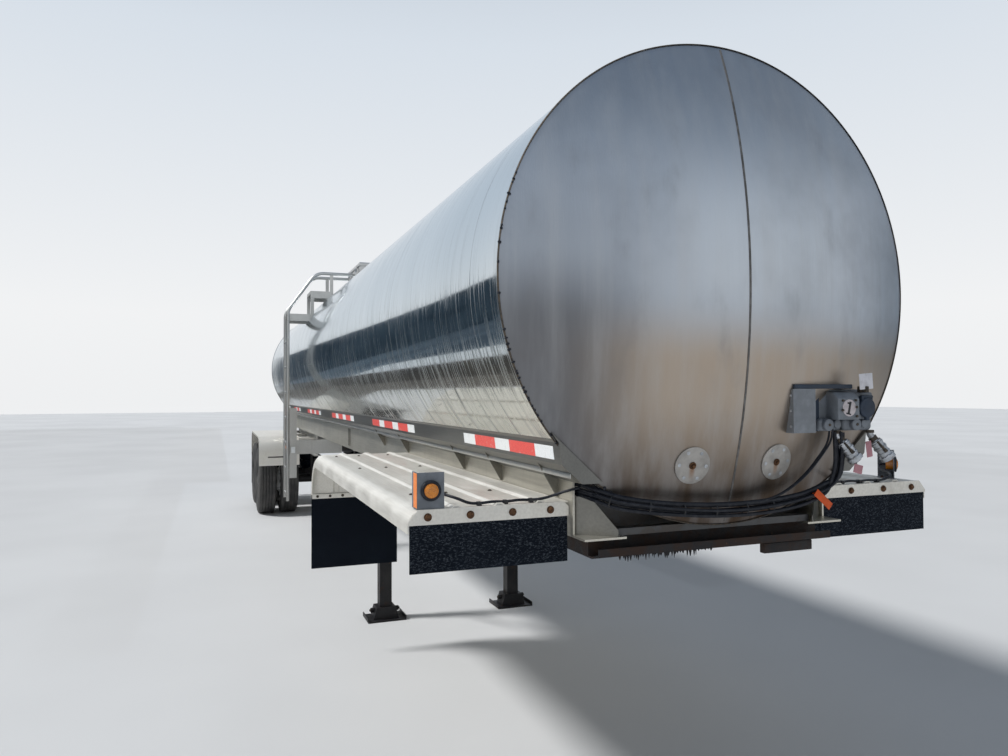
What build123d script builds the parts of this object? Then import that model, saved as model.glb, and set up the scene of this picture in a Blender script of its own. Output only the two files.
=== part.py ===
from build123d import *
from math import cos, radians, sin, sqrt, tan
import os

# Millimetres. +X points to the trailer's front, +Y to its left, +Z up. The origin lies on the
# ground, on the centreline, half way between the front of the nose and the back of the bumper.
# A "station" is a distance behind the front head's rim.

# Tank
barrel_radius = 965
barrel_length = 11600
barrel_bottom_z = 1365
head_dish = 190
head_rim_width = 12
head_rim_lap = 4
head_seam_width = 9
head_seam_height = 2
cover_radius = 75
cover_spread = 400
cover_drop = 720
cover_thickness = 4
cover_bolt_radius = 9
cover_bolt_height = 12
bumper_reach = 700

# General clearances and sheet thicknesses
tank_clearance = 0.5
contact_gap = 0.3
door_gap = 6
sheet = 4
plate = 8

# Side rails along the barrel's lower flanks, their section angles and widths
rail_top_angle = 37.4
rail_shoulder = 48
rail_band_height = 80
rail_band_lean = 10
rail_lip_drop = 75
rail_lip_inset = 86
rail_root_angle = 53
rail_cap_length = 30
rail_cap_lap_angle = 54.5

# Frame
coupler_bottom_z = 1250
coupler_height = 80
frame_half_width = 620
frame_flange_width = 180
frame_front_station = 100
frame_rear_setback = 40
frame_tail_inset = 10
frame_tail_height = 60
sole_front_station = 0
front_saddle_stations = [150, 1000, 2000, 3100]
middle_saddle_station = 5600
rear_saddle_lead = 950
subframe_saddle_setback = 100
outrigger_stations = [230, 870, 1450, 2750, 3560]
sill_station = 30
outrigger_lift = 5
outrigger_reach = 0.8
outrigger_flange = 50
gusset_height = 148
gusset_front_station = 10
gusset_rear_station = 120

# Coupler and kingpin
coupler_half_width = 560
coupler_length = 1750
coupler_lip_height = 46
coupler_lip_run = 60
coupler_channel_width = 90
coupler_front_setback = 90
coupler_beam_y = 200
coupler_beam_lead = 250
coupler_beam_trail = 150
kingpin_station = 760
kingpin_collar_radius = 36.5
kingpin_neck_radius = 25.4
kingpin_flange_radius = 35.7
kingpin_collar_length = 29
kingpin_neck_length = 36
kingpin_flange_length = 19

# Front fenders
fender_front_station = 130
fender_length = 2980
fender_gap = 6
fender_width = 642
fender_top_z = 1467
fender_roll_radius = 62
fender_edge_drop = 24
fender_rib_width = 46
fender_rib_height = 9
fender_rib_slope = 12
fender_rib_offsets = [92, 262, 432]
fender_tail_radius = 300
fender_flange_drop = 56
fender_flange_chamfer = 38
fender_strip_height = 34
bracket_tube_radius = 24
bracket_stations = [420, 1620, 2500]
bracket_foot_radius = 58
bracket_foot_drop = 30

# Rubber flaps
flap_thickness = 8
front_flap_height = 176
front_mudflap_height = 510
rear_mudflap_height = 520

# Marker lamps on the fenders
marker_width = 103
marker_height = 134
marker_depth = 75
marker_lens_radius = 27
marker_grommet_radius = 35
marker_lens_height = 12
marker_body_depth = 38
marker_spots = {-1: (4, 88, 0), 1: (124, 52, 42)}  # behind the fender's front, in from its edge, turn
side_lamp_length = 70
side_lamp_height = 34
side_lamp_depth = 16

# Nose box, socket and gladhands
nose_box_y = 360
nose_box_width = 318
nose_box_rise = 415
nose_box_height = 124
nose_box_depth = 84
nose_box_reach = 182
nose_face_depth = 26
nose_face_span = (94, 238)
nose_face_margin = 8
nose_corner = 22
nose_boss_height = 50
nose_boss_spans = [(4, 143), (149, 310)]
nose_boss_setback = 14
nose_bracket_reach = 156
nose_bracket_y = 191
nose_bracket_end_y = 348
nose_bracket_lean = 26
nose_bracket_drop = 60
nose_bracket_rise = 132
nose_link_depth = 40
socket_cover_radius = 34
socket_cover_rise = 54
socket_cover_inset = 48
socket_cover_thickness = 10
gladhand_spots = [479, 658]
gladhand_radius = 24
gladhand_length = 92
gladhand_pipe_radius = 13
gladhand_elbow_drop = 18
gladhand_neck_length = 34
gladhand_tilt = 34
gladhand_forward_share = 0.5
gladhand_face_radius = 31
gladhand_face_depth = 18

# Cables held along the nose
bundle_radius = 21
bundle_standoff = 28
bundle_drop_reach = 120
bundle_drop_y = 430
bundle_drop_low_rise = 240
bundle_sag = [(428, 170), (395, 118), (280, 88), (120, 67), (-90, 65), (-290, 81), (-430, 97)]
bundle_tail = [(-24, -520, 113), (40, -590, 147), (150, -590, 147)]
lamp_wire_radius = 5
lamp_wire_run = [(14, 294, 20), (24, 194, 22), (10, 109, 20), (-4, 54, 32)]
lamp_wire_right_end = [(-34, 20, 46), (-70, -17, 60)]
lamp_wire_left_end = [(-60, 14, 40), (-154, -34, 33), (-206, -113, 65)]

# Landing gear
leg_station = 3820
leg_half_spacing = 572
leg_tube = 127
leg_inner = 101
leg_bottom_z = 480
foot_length = 250
foot_width = 320
foot_thickness = 12
shoe_height = 95
shoe_depth = 150
shoe_foot_half = 105
shoe_head_half = 80
foot_pivot_radius = 20
foot_pivot_reach = 118
foot_pivot_z = 74
leg_shaft_radius = 17
leg_shaft_z = 1090
gearbox_size = 150
gearbox_depth = 46
crank_reach = 320
crank_radius = 13
crank_rise = 30
crank_standoff = 52
crank_grip = 110
crank_bend = 34
leg_brace_width = 48
leg_brace_low_z = 760
leg_brace_slant = 1.4
leg_brace_reach = 700

# Ladder
ladder_setback = 200
ladder_y = 1105
ladder_half_width = 190
ladder_tube_radius = 19
ladder_rung_radius = 13
ladder_bottom_z = 620
ladder_first_rung_z = 700
ladder_pitch = 304.8
ladder_rungs = 7
ladder_bar_drop = 168
ladder_bar_width = 64
ladder_bar_margin = 24
ladder_web_width = 84
ladder_web_span = (892, 1727)
tread_inset = 10
tread_depths = [254, 229]
tread_rises = [530, 814]
tread_thickness = 34
stringer_height = 86
riser_width = 40
handrail_knee_rise = 570
handrail_rise = 67
handrail_top_y = 780
handrail_bend = 185

# Manhole box
manhole_setback = 4790
manhole_box_length = 820
manhole_box_width = 640
manhole_box_rise = 160
manhole_lid_height = 40
manhole_lid_overhang = 12
manhole_lid_wall = 24
manhole_neck_radius = 228
manhole_neck_height = 42
manhole_cover_lip = 18
manhole_cover_thickness = 14
cover_clamps = 6
cover_clamp_radius = 11
cover_clamp_height = 26
cover_clamp_width = 30
lid_latch_spots = [-250, 250]
lid_latch_width = 44
lid_latch_drop = 70
lid_latch_thickness = 5

# Running gear
rear_axle_setback = 155
axle_spacing = 1245
axle_z = 525
axle_tube_radius = 63.5
spindle_radius = 45
hub_bore_clearance = 0.3
dual_half_track = 984
rim_offset = 168
rim_width = 210
rim_radius = 286
rim_wall = 14
disc_thickness = 14
hand_holes = 10
hand_hole_radius = 26
hand_hole_circle = 205
hub_radius = 105
hub_reach = 150
hub_inboard = 60
well_radius = 252
flange_height = 14
flange_width = 12
disc_flat_radius = 160
disc_rim_reach = 80
drum_radius = 212
drum_wall = 20
drum_length = 175
shield_radius = 180
tyre_radius = 525
tyre_half_section = 140
tyre_shoulder_radius = 505
tyre_tread_half = 112
subframe_half_spacing = 450
subframe_depth = 380
subframe_flange = 110
subframe_lead = 950
subframe_reach = 400
hanger_lead = 500
hanger_length = 240
arm_z = 660
arm_width = 76
arm_tail = 360
spring_radius = 135
spring_plate = 14
spring_lead = 266
shock_radius = 32
shock_rod_radius = 14
shock_rod_share = 0.45
shock_lead = 90
shock_top_drop = 28
shock_low_lead = 20
hanger_foot = 60
arm_pin_radius = 22
chamber_radius = 82
chamber_length = 150
chamber_y = 300
chamber_setback = 120

# Rear fenders
rear_fender_inner_y = 690
rear_fender_outer_y = 1288
rear_fender_top_z = 1240
rear_fender_bottom_z = 800
rear_fender_clearance = 110
rear_fender_corner = 260
rear_fender_lip = 26
fender_slot_length = 340
fender_slot_height = 20

# Valve cabinet at the tank's end
cabinet_half_width = 520
cabinet_depth = 560
cabinet_rise = 675
cabinet_floor = 20
door_thickness = 30
door_panel_margin = 70
door_panel_depth = 6
door_handle_inset = 60
door_handle_length = 130
door_handle_width = 18
door_handle_standoff = 14
door_handle_radius = 24

# Hinges of the cabinet doors and the manhole lid
hinge_radius = 10
hinge_pin_radius = 5
hinge_pin_length = 30
hinge_lug_thickness = 8
hinge_lug_gap = 6
running_clearance = 0.3

# Outlet valve
valve_station_gap = 90
valve_rise = 125
ferrule_radius = 45.5
ferrule_length = 6.4
pipe_radius = 38.1
pipe_bore = 36.4
valve_reach = 330

# Rear bumper and lamps
bumper_half_width = 1100
bumper_height = 100
bumper_thickness = 60
bumper_z = 500
bumper_post_y = 450
lamp_bar_inner_y = 640
lamp_bar_outer_y = 1230
lamp_bar_z = 860
lamp_bar_height = 120
tail_lamp_radius = 50
tail_lamp_count = 3
reservoir_radius = 120
reservoir_length = 760
reservoir_lead = 1850
reservoir_spots = [-200, 200]
reservoir_strap_width = 40
reservoir_hanger_half = 520

barrel_axis_z = barrel_bottom_z + barrel_radius
nose_box_z = barrel_bottom_z + nose_box_rise
cabinet_top_z = barrel_bottom_z + cabinet_rise
valve_z = barrel_bottom_z + valve_rise
fender_inner_y = frame_half_width + fender_gap
fender_outer_y = fender_inner_y + fender_width
manhole_station = barrel_length - manhole_setback
overall_length = head_seam_height + head_dish + barrel_length + bumper_reach
nose_x = overall_length / 2
rim_x = nose_x - head_seam_height - head_dish
tail_rim_x = rim_x - barrel_length
coupler_top_z = coupler_bottom_z + coupler_height
frame_sole_z = coupler_top_z + plate
cabinet_bottom_z = frame_sole_z
barrel_crown_z = barrel_axis_z + barrel_radius
manhole_box_top_z = barrel_crown_z + manhole_box_rise
ladder_station = manhole_station + ladder_setback
axle_stations = [barrel_length - rear_axle_setback - axle_spacing, barrel_length - rear_axle_setback]
frame_rear_station = barrel_length - frame_rear_setback
frame_tail_station = barrel_length + cabinet_depth - frame_tail_inset
subframe_front_station = axle_stations[0] - subframe_lead
subframe_rear_station = barrel_length + subframe_reach
reservoir_station = axle_stations[0] - reservoir_lead
saddle_stations = front_saddle_stations + [leg_station, middle_saddle_station, ladder_station]
saddle_stations += [subframe_front_station - rear_saddle_lead, subframe_front_station + subframe_saddle_setback]
saddle_stations += axle_stations


def at(station):
    return rim_x - station


def block(x_low, x_high, y_low, y_high, z_low, z_high):
    body = Box(x_high - x_low, y_high - y_low, z_high - z_low)
    return Pos((x_low + x_high) / 2, (y_low + y_high) / 2, (z_low + z_high) / 2) * body


def polygon(points):
    return make_face(Polyline(*points, close=True))


def cross_plate(points, x_low, thickness):
    """A plate that stands across the trailer, its outline given as (y, z)."""
    plane = Plane(origin=(x_low, 0, 0), x_dir=(0, 1, 0), z_dir=(1, 0, 0))
    return extrude(plane * polygon(points), amount=thickness)


def long_plate(points, y_low, thickness):
    """A plate that stands along the trailer, its outline given as (x, z)."""
    plane = Plane(origin=(0, y_low + thickness, 0), x_dir=(1, 0, 0), z_dir=(0, -1, 0))
    return extrude(plane * polygon(points), amount=thickness)


def bar(start, end, radius):
    """A round bar or tube between two points."""
    line = Vector(*end) - Vector(*start)
    return extrude(Plane(origin=start, z_dir=line) * Circle(radius), amount=line.length)


def bent_bar(points, radius, bends):
    path = FilletPolyline(*points, radius=bends)
    profile = Plane(origin=path @ 0, z_dir=path % 0) * Circle(radius)
    return sweep(profile, path=path)


def both_sides(part):
    return [part, mirror(part, about=Plane.XZ)]


def barrel_point(angle, radius=barrel_radius):
    """A (y, z) point on the left of the barrel, the angle measured down from level."""
    return (radius * cos(radians(angle)), barrel_axis_z - radius * sin(radians(angle)))


def barrel_underside_z(y):
    return barrel_axis_z - sqrt(barrel_radius**2 - y**2)


def axis_rod(radius, x_low, x_high, y=0, z=barrel_axis_z):
    return bar((x_low, y, z), (x_high, y, z), radius)


def dish_sphere_radius():
    rise = head_dish - head_rim_width
    edge = barrel_radius + head_rim_lap
    return (edge**2 + rise**2) / (2 * rise)


def dish_height(r):
    """How far the dished surface stands out of the rim plane at a distance from its centre."""
    ball = dish_sphere_radius()
    return head_dish - ball + sqrt(ball**2 - r**2)


def head_shell(direction, rim_plane_x, grow=0.0):
    """A dished head with a short rim lap, its back flat against the barrel's end."""
    edge = barrel_radius + head_rim_lap + grow
    ball = dish_sphere_radius() + grow
    centre = direction * (head_dish + grow - ball)
    sphere = Pos(centre, 0, 0) * Rot(0, 0, 90 + 90 * direction) * Sphere(ball)
    rim = bar((0, 0, 0), (direction * (head_dish + 2 * grow + 1), 0, 0), edge)
    return Pos(rim_plane_x, 0, barrel_axis_z) * (rim & sphere)


def tank_envelope(grow):
    """The barrel with both heads, grown, to cut pieces that fit against the tank."""
    body = axis_rod(barrel_radius + grow, tail_rim_x, rim_x)
    return [body, head_shell(1, rim_x, grow), head_shell(-1, tail_rim_x, grow)]


tank_cutters = tank_envelope(tank_clearance)


def clear_of_tank(part):
    for cutter in tank_cutters:
        part = part - cutter
    return part


def make_barrel():
    return axis_rod(barrel_radius, tail_rim_x, rim_x)


def make_front_head():
    head = head_shell(1, rim_x)
    reach = barrel_radius - head_seam_width
    crest = rim_x + head_dish
    edge = rim_x + dish_height(reach)
    low = barrel_axis_z - reach
    high = barrel_axis_z + reach
    rise = head_seam_height
    seam = ThreePointArc((edge + rise, low), (crest + rise, barrel_axis_z), (edge + rise, high))
    seam += Polyline((edge + rise, high), (edge - rise, high), (edge - rise, low), (edge + rise, low))
    plane = Plane(origin=(0, head_seam_width / 2, 0), x_dir=(1, 0, 0), z_dir=(0, -1, 0))
    head = head + extrude(plane * make_face(seam), amount=head_seam_width)
    away = sqrt(cover_drop**2 + (cover_spread / 2) ** 2)
    tilt = away / dish_sphere_radius()
    for side in (-1, 1):
        face = Vector(dish_height(away), side * cover_spread / 2, -cover_drop)
        normal = Vector(cos(tilt), sin(tilt) * side * cover_spread / 2 / away, -sin(tilt) * cover_drop / away)
        base = face + Vector(rim_x, 0, barrel_axis_z) - normal * cover_radius / 4
        disc = Plane(origin=base, z_dir=normal) * Circle(cover_radius)
        bolt = Plane(origin=base, z_dir=normal) * Circle(cover_bolt_radius)
        head = head + extrude(disc, amount=cover_radius / 4 + cover_thickness)
        head = head + extrude(bolt, amount=cover_radius / 4 + cover_thickness + cover_bolt_height)
    return head


def make_rear_head():
    return head_shell(-1, tail_rim_x)


def rail_outline():
    top = barrel_point(rail_top_angle)
    lean = radians(90 - rail_top_angle)
    band_top = (top[0] - rail_shoulder * cos(lean), top[1] - rail_shoulder * sin(lean))
    band_foot = (band_top[0] - rail_band_lean, band_top[1] - rail_band_height)
    lip = (band_foot[0] - rail_lip_inset, band_foot[1] - rail_lip_drop)
    return top, band_top, band_foot, lip


def rail_underside_z(y):
    """The height of the side rail's flat underside, between its lip and its root on the barrel."""
    lip = rail_outline()[3]
    root = barrel_point(rail_root_angle)
    return min(lip[1], lip[1] + (root[1] - lip[1]) * (lip[0] - y) / (lip[0] - root[0]))


def under_tank_z(y):
    """The height of what a plate of the frame meets over it: the side rail or the barrel."""
    return min(rail_underside_z(y), barrel_underside_z(y - plate) - contact_gap)


def make_side_rails():
    top, band_top, band_foot, lip = rail_outline()
    root = barrel_point(rail_root_angle)
    core = barrel_point((rail_top_angle + rail_root_angle) / 2, barrel_radius * 0.97)
    length = barrel_length + head_rim_width
    rail = cross_plate([top, band_top, band_foot, lip, root, core], tail_rim_x, length)
    cap_corner = barrel_point(rail_cap_lap_angle, barrel_radius - 2 * head_rim_lap)
    cap_x = rim_x + head_rim_width
    cap = cross_plate([top, band_top, band_foot, lip, cap_corner], cap_x, rail_cap_length - head_rim_width)
    return both_sides(clear_of_tank(rail + cap))


def make_frame_rails():
    """Each side is a web plate on a flat sole plate, with a low lip behind the tank."""
    y = frame_half_width
    front = at(frame_front_station)
    rear = at(frame_rear_station)
    tail = at(frame_tail_station)
    foot_z = frame_sole_z + contact_gap
    web = block(rear, front, y - plate, y, foot_z, under_tank_z(y))
    lip = block(tail, rear - contact_gap, y - plate, y, foot_z, frame_sole_z + frame_tail_height)
    sole = block(tail, at(sole_front_station), y - frame_flange_width, y, coupler_top_z, frame_sole_z)
    return both_sides(web) + both_sides(lip) + both_sides(sole)


def make_saddles():
    half = frame_half_width - plate
    top = under_tank_z(half) - contact_gap
    pieces = []
    for station in saddle_stations:
        saddle = block(at(station) - plate, at(station), -half, half, frame_sole_z, top)
        foot = block(
            at(station) - plate - outrigger_flange, at(station) - plate, -half + frame_flange_width,
            half - frame_flange_width, coupler_top_z, frame_sole_z,
        )
        web = block(
            at(station) - plate, at(station), -half + frame_flange_width, half - frame_flange_width,
            coupler_top_z, frame_sole_z,
        )
        pieces.append(clear_of_tank(saddle + web + foot))
    sill_half = coupler_half_width - coupler_channel_width
    sill = block(
        at(sill_station) - outrigger_flange, at(sill_station), -sill_half, sill_half,
        frame_sole_z, barrel_bottom_z,
    )
    pieces.append(clear_of_tank(sill))
    return pieces


def make_outriggers():
    band_foot, lip = rail_outline()[2:]
    y = frame_half_width
    foot = fender_top_z + outrigger_lift
    under = lip[1] - contact_gap
    share = outrigger_reach
    tip = (lip[0] + (band_foot[0] - lip[0]) * share, lip[1] + (band_foot[1] - lip[1]) * share - contact_gap)
    pieces = []
    for station in outrigger_stations:
        outline = [(y, foot), (y + plate, foot), tip, (lip[0], under), (y, under)]
        pieces += both_sides(cross_plate(outline, at(station) - plate, plate))
    return pieces


def make_gussets():
    """Stainless wing plates at the coupler's front corners, swept back in plan."""
    foot_in = (at(gusset_front_station), coupler_half_width - coupler_channel_width)
    foot_out = (at(gusset_rear_station), frame_half_width - plate - sheet)
    run = Vector(foot_out[0] - foot_in[0], foot_out[1] - foot_in[1])
    origin = (foot_in[0], foot_in[1], frame_sole_z)
    plane = Plane(origin=origin, x_dir=(run.X, run.Y, 0), z_dir=(run.Y, -run.X, 0))
    high = gusset_height
    outline = [(0, 0), (run.length, 0), (run.length, high), (run.length * 0.62, high), (0, high / 6)]
    wing = extrude(plane * polygon(outline), amount=sheet)
    return both_sides(clear_of_tank(wing))


def make_coupler():
    front = at(0)
    back = at(coupler_length)
    half = coupler_half_width
    low = coupler_bottom_z
    skin = block(back, front - coupler_lip_run, -half, half, low, low + plate)
    lip = long_plate(
        [
            (front - coupler_lip_run, low), (front, low + coupler_lip_run / 4),
            (front, low + coupler_lip_height), (front - plate, low + coupler_lip_height),
            (front - plate, low + coupler_lip_run / 4 + plate), (front - coupler_lip_run, low + plate),
        ],
        -half, 2 * half,
    )
    pin = at(kingpin_station)
    plate_part = skin + lip - axis_hole(pin, low, plate, kingpin_collar_radius + contact_gap)
    width = coupler_channel_width
    ends = front - coupler_front_setback
    for y in (width / 2 - half, -coupler_beam_y, coupler_beam_y, half - width / 2):
        plate_part += block(back, ends, y - width / 2, y + width / 2, low + plate, coupler_top_z)
    for x in (ends, pin + coupler_beam_lead, pin - coupler_beam_trail, back + width):
        plate_part += block(x - width, x, -half, half, low + plate, coupler_top_z)
    return plate_part


def axis_hole(x, z, depth, radius):
    """A cutter for a hole on the centreline that runs straight up from a height."""
    return bar((x, 0, z - 1), (x, 0, z + depth + 1), radius)


def make_kingpin():
    """The pin's head sits in the skin's hole, flush with its top."""
    x = at(kingpin_station)
    z = coupler_bottom_z + plate
    pin = None
    for radius, length in (
        (kingpin_collar_radius, kingpin_collar_length + plate),
        (kingpin_neck_radius, kingpin_neck_length),
        (kingpin_flange_radius, kingpin_flange_length),
    ):
        step = bar((x, 0, z), (x, 0, z - length), radius)
        pin = step if pin is None else pin + step
        z -= length
    return pin


def fender_skin_outline():
    """The fender's section: flat with pressed ribs, its outer edge rolled down."""
    upper = [(fender_inner_y, fender_top_z)]
    for offset in fender_rib_offsets:
        y = fender_inner_y + offset
        upper.append((y, fender_top_z))
        upper.append((y + fender_rib_slope, fender_top_z + fender_rib_height))
        upper.append((y + fender_rib_width - fender_rib_slope, fender_top_z + fender_rib_height))
        upper.append((y + fender_rib_width, fender_top_z))
    bend_y = fender_outer_y - fender_roll_radius
    bend_z = fender_top_z - fender_roll_radius
    foot_z = bend_z - fender_edge_drop
    mid = sqrt(0.5)
    outer = fender_roll_radius
    inner = fender_roll_radius - sheet
    upper.append((bend_y, fender_top_z))
    line = Polyline(*upper)
    line += ThreePointArc(
        (bend_y, fender_top_z), (bend_y + outer * mid, bend_z + outer * mid), (fender_outer_y, bend_z)
    )
    line += Polyline(
        (fender_outer_y, bend_z), (fender_outer_y, foot_z), (fender_outer_y - sheet, foot_z),
        (fender_outer_y - sheet, bend_z),
    )
    line += ThreePointArc(
        (fender_outer_y - sheet, bend_z), (bend_y + inner * mid, bend_z + inner * mid),
        (bend_y, fender_top_z - sheet),
    )
    lower = [(y, z - sheet) for y, z in reversed(upper)]
    line += Polyline(*lower)
    line += Line((fender_inner_y, fender_top_z - sheet), (fender_inner_y, fender_top_z))
    return make_face(line)


def make_fender():
    front = at(fender_front_station)
    tail_x = front - fender_length + fender_tail_radius
    section = fender_skin_outline()
    plane = Plane(origin=(tail_x, 0, 0), x_dir=(0, 1, 0), z_dir=(1, 0, 0))
    skin = extrude(plane * section, amount=front - tail_x)
    tail_axis = Axis((tail_x, 0, fender_top_z - fender_tail_radius), (0, 1, 0))
    tail = revolve(plane * section, axis=tail_axis, revolution_arc=-90)
    chamfer = fender_flange_chamfer
    low = fender_top_z - fender_flange_drop
    flange = cross_plate(
        [
            (fender_inner_y, low), (fender_outer_y, low), (fender_outer_y, low + sheet * 3),
            (fender_outer_y - chamfer, fender_top_z), (fender_inner_y + chamfer / 2, fender_top_z),
            (fender_inner_y, fender_top_z - chamfer / 2),
        ],
        front, sheet,
    )
    strip_z = fender_top_z - fender_tail_radius
    strip_x = front - fender_length
    strip = block(
        strip_x, strip_x + sheet, fender_inner_y, fender_outer_y - sheet,
        strip_z - fender_strip_height, strip_z,
    )
    return skin + tail + flange + strip


def make_fender_brackets():
    pieces = []
    z = fender_top_z - sheet - contact_gap - bracket_tube_radius
    y_end = fender_outer_y - fender_roll_radius
    for station in bracket_stations:
        x = at(station)
        tube = bar((x, frame_half_width, z), (x, y_end, z), bracket_tube_radius)
        foot_z = z - bracket_foot_drop
        reach = bracket_foot_radius
        y_foot = fender_inner_y - contact_gap
        disc = bar((x, frame_half_width, foot_z), (x, y_foot, foot_z), reach)
        foot = disc & block(x - reach, x + reach, frame_half_width, y_foot, frame_sole_z, fender_top_z - sheet)
        pieces += both_sides(tube + foot)
    return pieces


def make_flaps():
    front = at(fender_front_station)
    y_low = fender_inner_y + 4
    y_high = fender_outer_y - 8
    low = fender_top_z - fender_flange_drop
    corner = fender_roll_radius
    nose = cross_plate(
        [
            (y_low, low - front_flap_height), (y_high, low - front_flap_height), (y_high, low),
            (y_high - corner, low + fender_strip_height), (y_low, low + fender_strip_height),
        ],
        front - flap_thickness, flap_thickness,
    )
    tail_x = front - fender_length + sheet
    strip_z = fender_top_z - fender_tail_radius
    tail = block(
        tail_x, tail_x + flap_thickness, y_low, y_high,
        strip_z - fender_strip_height - front_mudflap_height, strip_z - sheet,
    )
    rear_x = rear_fender_span()[0] + sheet
    rear = block(
        rear_x, rear_x + flap_thickness, rear_fender_inner_y + sheet, rear_fender_outer_y - sheet,
        rear_fender_bottom_z - rear_mudflap_height, rear_fender_bottom_z + fender_strip_height,
    )
    return both_sides(nose) + both_sides(tail) + both_sides(rear)


def marker_place(side):
    """The middle of a marker plate's foot, where it stands on its fender."""
    behind, inset, turn = marker_spots[side]
    place = (at(fender_front_station + behind), side * (fender_outer_y - inset), fender_top_z + contact_gap)
    return Pos(*place) * Rot(0, 0, side * turn)


def make_marker_brackets():
    """Each bracket is a folded plate with an eye for the lamp, its flange on the outer side."""
    half = marker_width / 2
    z = marker_height / 2
    pieces = []
    for side in (-1, 1):
        front = block(-sheet, 0, -half, half, 0, marker_height)
        edge_low, edge_high = sorted((side * half, side * (half - sheet)))
        edge = block(-marker_depth, 0, edge_low, edge_high, 0, marker_height)
        foot = block(-marker_depth, 0, -half, half, 0, sheet)
        eye = bar((-marker_depth, 0, z), (1, 0, z), marker_lens_radius)
        pieces.append(marker_place(side) * (front + edge + foot - eye))
    return pieces


def make_marker_lamps():
    z = marker_height / 2
    pieces = []
    for side in (-1, 1):
        lamp = bar((-marker_body_depth, 0, z), (marker_lens_height, 0, z), marker_lens_radius - contact_gap)
        grommet = bar((0, 0, z), (sheet, 0, z), marker_grommet_radius)
        pieces.append(marker_place(side) * (lamp + grommet))
    side_y = -ladder_y + ladder_tube_radius
    bar_z = coupler_top_z - ladder_bar_drop / 2
    half = side_lamp_length / 2
    rise = side_lamp_height / 2
    x = at(ladder_station)
    pieces.append(block(x - half, x + half, side_y - side_lamp_depth, side_y, bar_z - rise, bar_z + rise))
    return pieces


def make_connector_box():
    """The lamp socket's casting over the gladhands' two bosses, beside its folded bracket."""
    x_front = rim_x + nose_box_reach
    x_back = x_front - nose_box_depth
    y = nose_box_y
    y_end = y + nose_box_width
    z = nose_box_z
    z_top = z + nose_box_height
    seat = x_front - nose_face_depth
    case = block(x_back, seat, y, y_end, z, z_top)
    case = fillet(case.edges().filter_by(Axis.Y).group_by(Axis.Z)[-1], nose_corner)
    low, high = nose_face_span
    margin = nose_face_margin
    face = block(seat, x_front, y + low, y + high, z + margin, z_top - margin)
    face = fillet(face.edges().filter_by(Axis.X), nose_corner)
    part = case + face
    for low, high in nose_boss_spans:
        boss = block(x_back, seat - nose_boss_setback, y + low, y + high, z - nose_boss_height, z)
        part = part + fillet(boss.edges().filter_by(Axis.X).group_by(Axis.Z)[0], nose_corner / 2)
    cover_y = y_end - socket_cover_inset
    cover_z = z + socket_cover_rise
    cover_x = seat + socket_cover_thickness
    part = part + bar((seat, cover_y, cover_z), (cover_x, cover_y, cover_z), socket_cover_radius)
    link = block(
        x_back, x_back + nose_link_depth, nose_bracket_end_y - sheet, y, z + nose_boss_height / 2,
        z_top - nose_boss_height / 2,
    )
    return clear_of_tank(part + link + nose_bracket())


def nose_bracket():
    """A plate folded back to the head at both ends, which carries the box clear of the dish."""
    front = rim_x + nose_bracket_reach
    y_low = nose_bracket_y
    y_high = nose_bracket_end_y
    lean = nose_bracket_lean
    outer = [(rim_x, y_low - 2 * lean), (front, y_low), (front, y_high), (rim_x, y_high)]
    inner = [
        (rim_x, y_low - 2 * lean + sheet), (front - sheet, y_low + sheet), (front - sheet, y_high - sheet),
        (rim_x, y_high - sheet),
    ]
    low = nose_box_z - nose_bracket_drop
    plane = Plane(origin=(0, 0, low))
    height = nose_bracket_drop + nose_bracket_rise
    return extrude(plane * (polygon(outer) - polygon(inner)), amount=height)


def make_gladhands():
    """Each hangs from an elbow, its round coupling face turned down and out."""
    x = rim_x + nose_box_reach - nose_box_depth / 2 - nose_boss_setback
    lean = radians(gladhand_tilt)
    step = Vector(sin(lean) * gladhand_forward_share, sin(lean), -cos(lean))
    step = step * (1 / step.length)
    pieces = []
    for y in gladhand_spots:
        start = Vector(x, y, nose_box_z - nose_boss_height)
        knee = start - Vector(0, 0, gladhand_elbow_drop)
        shoulder = knee + step * gladhand_neck_length
        tip = shoulder + step * gladhand_length
        hand = bar(tuple(start), tuple(knee), gladhand_pipe_radius) + Pos(*knee) * Sphere(gladhand_pipe_radius)
        hand = hand + bar(tuple(knee), tuple(shoulder + step), gladhand_pipe_radius)
        hand = hand + bar(tuple(shoulder), tuple(tip), gladhand_radius)
        hand = hand + bar(tuple(tip - step * gladhand_face_depth), tuple(tip), gladhand_face_radius)
        pieces.append(hand)
    return pieces


def in_front_of_head(y, z, standoff):
    """A point held off the dished head, measured along the trailer."""
    r = min(sqrt(y**2 + (barrel_axis_z - z) ** 2), barrel_radius)
    return (rim_x + dish_height(r) + standoff, y, z)


def make_cable_bundle():
    drop_x = rim_x + bundle_drop_reach
    low = barrel_bottom_z
    route = [(drop_x, bundle_drop_y, nose_box_z - nose_boss_height)]
    route.append((drop_x, bundle_drop_y, low + bundle_drop_low_rise))
    route += [in_front_of_head(y, low + rise, bundle_standoff) for y, rise in bundle_sag]
    route += [(at(station), y, low + rise) for station, y, rise in bundle_tail]
    return held_tube(route, bundle_radius)


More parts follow.
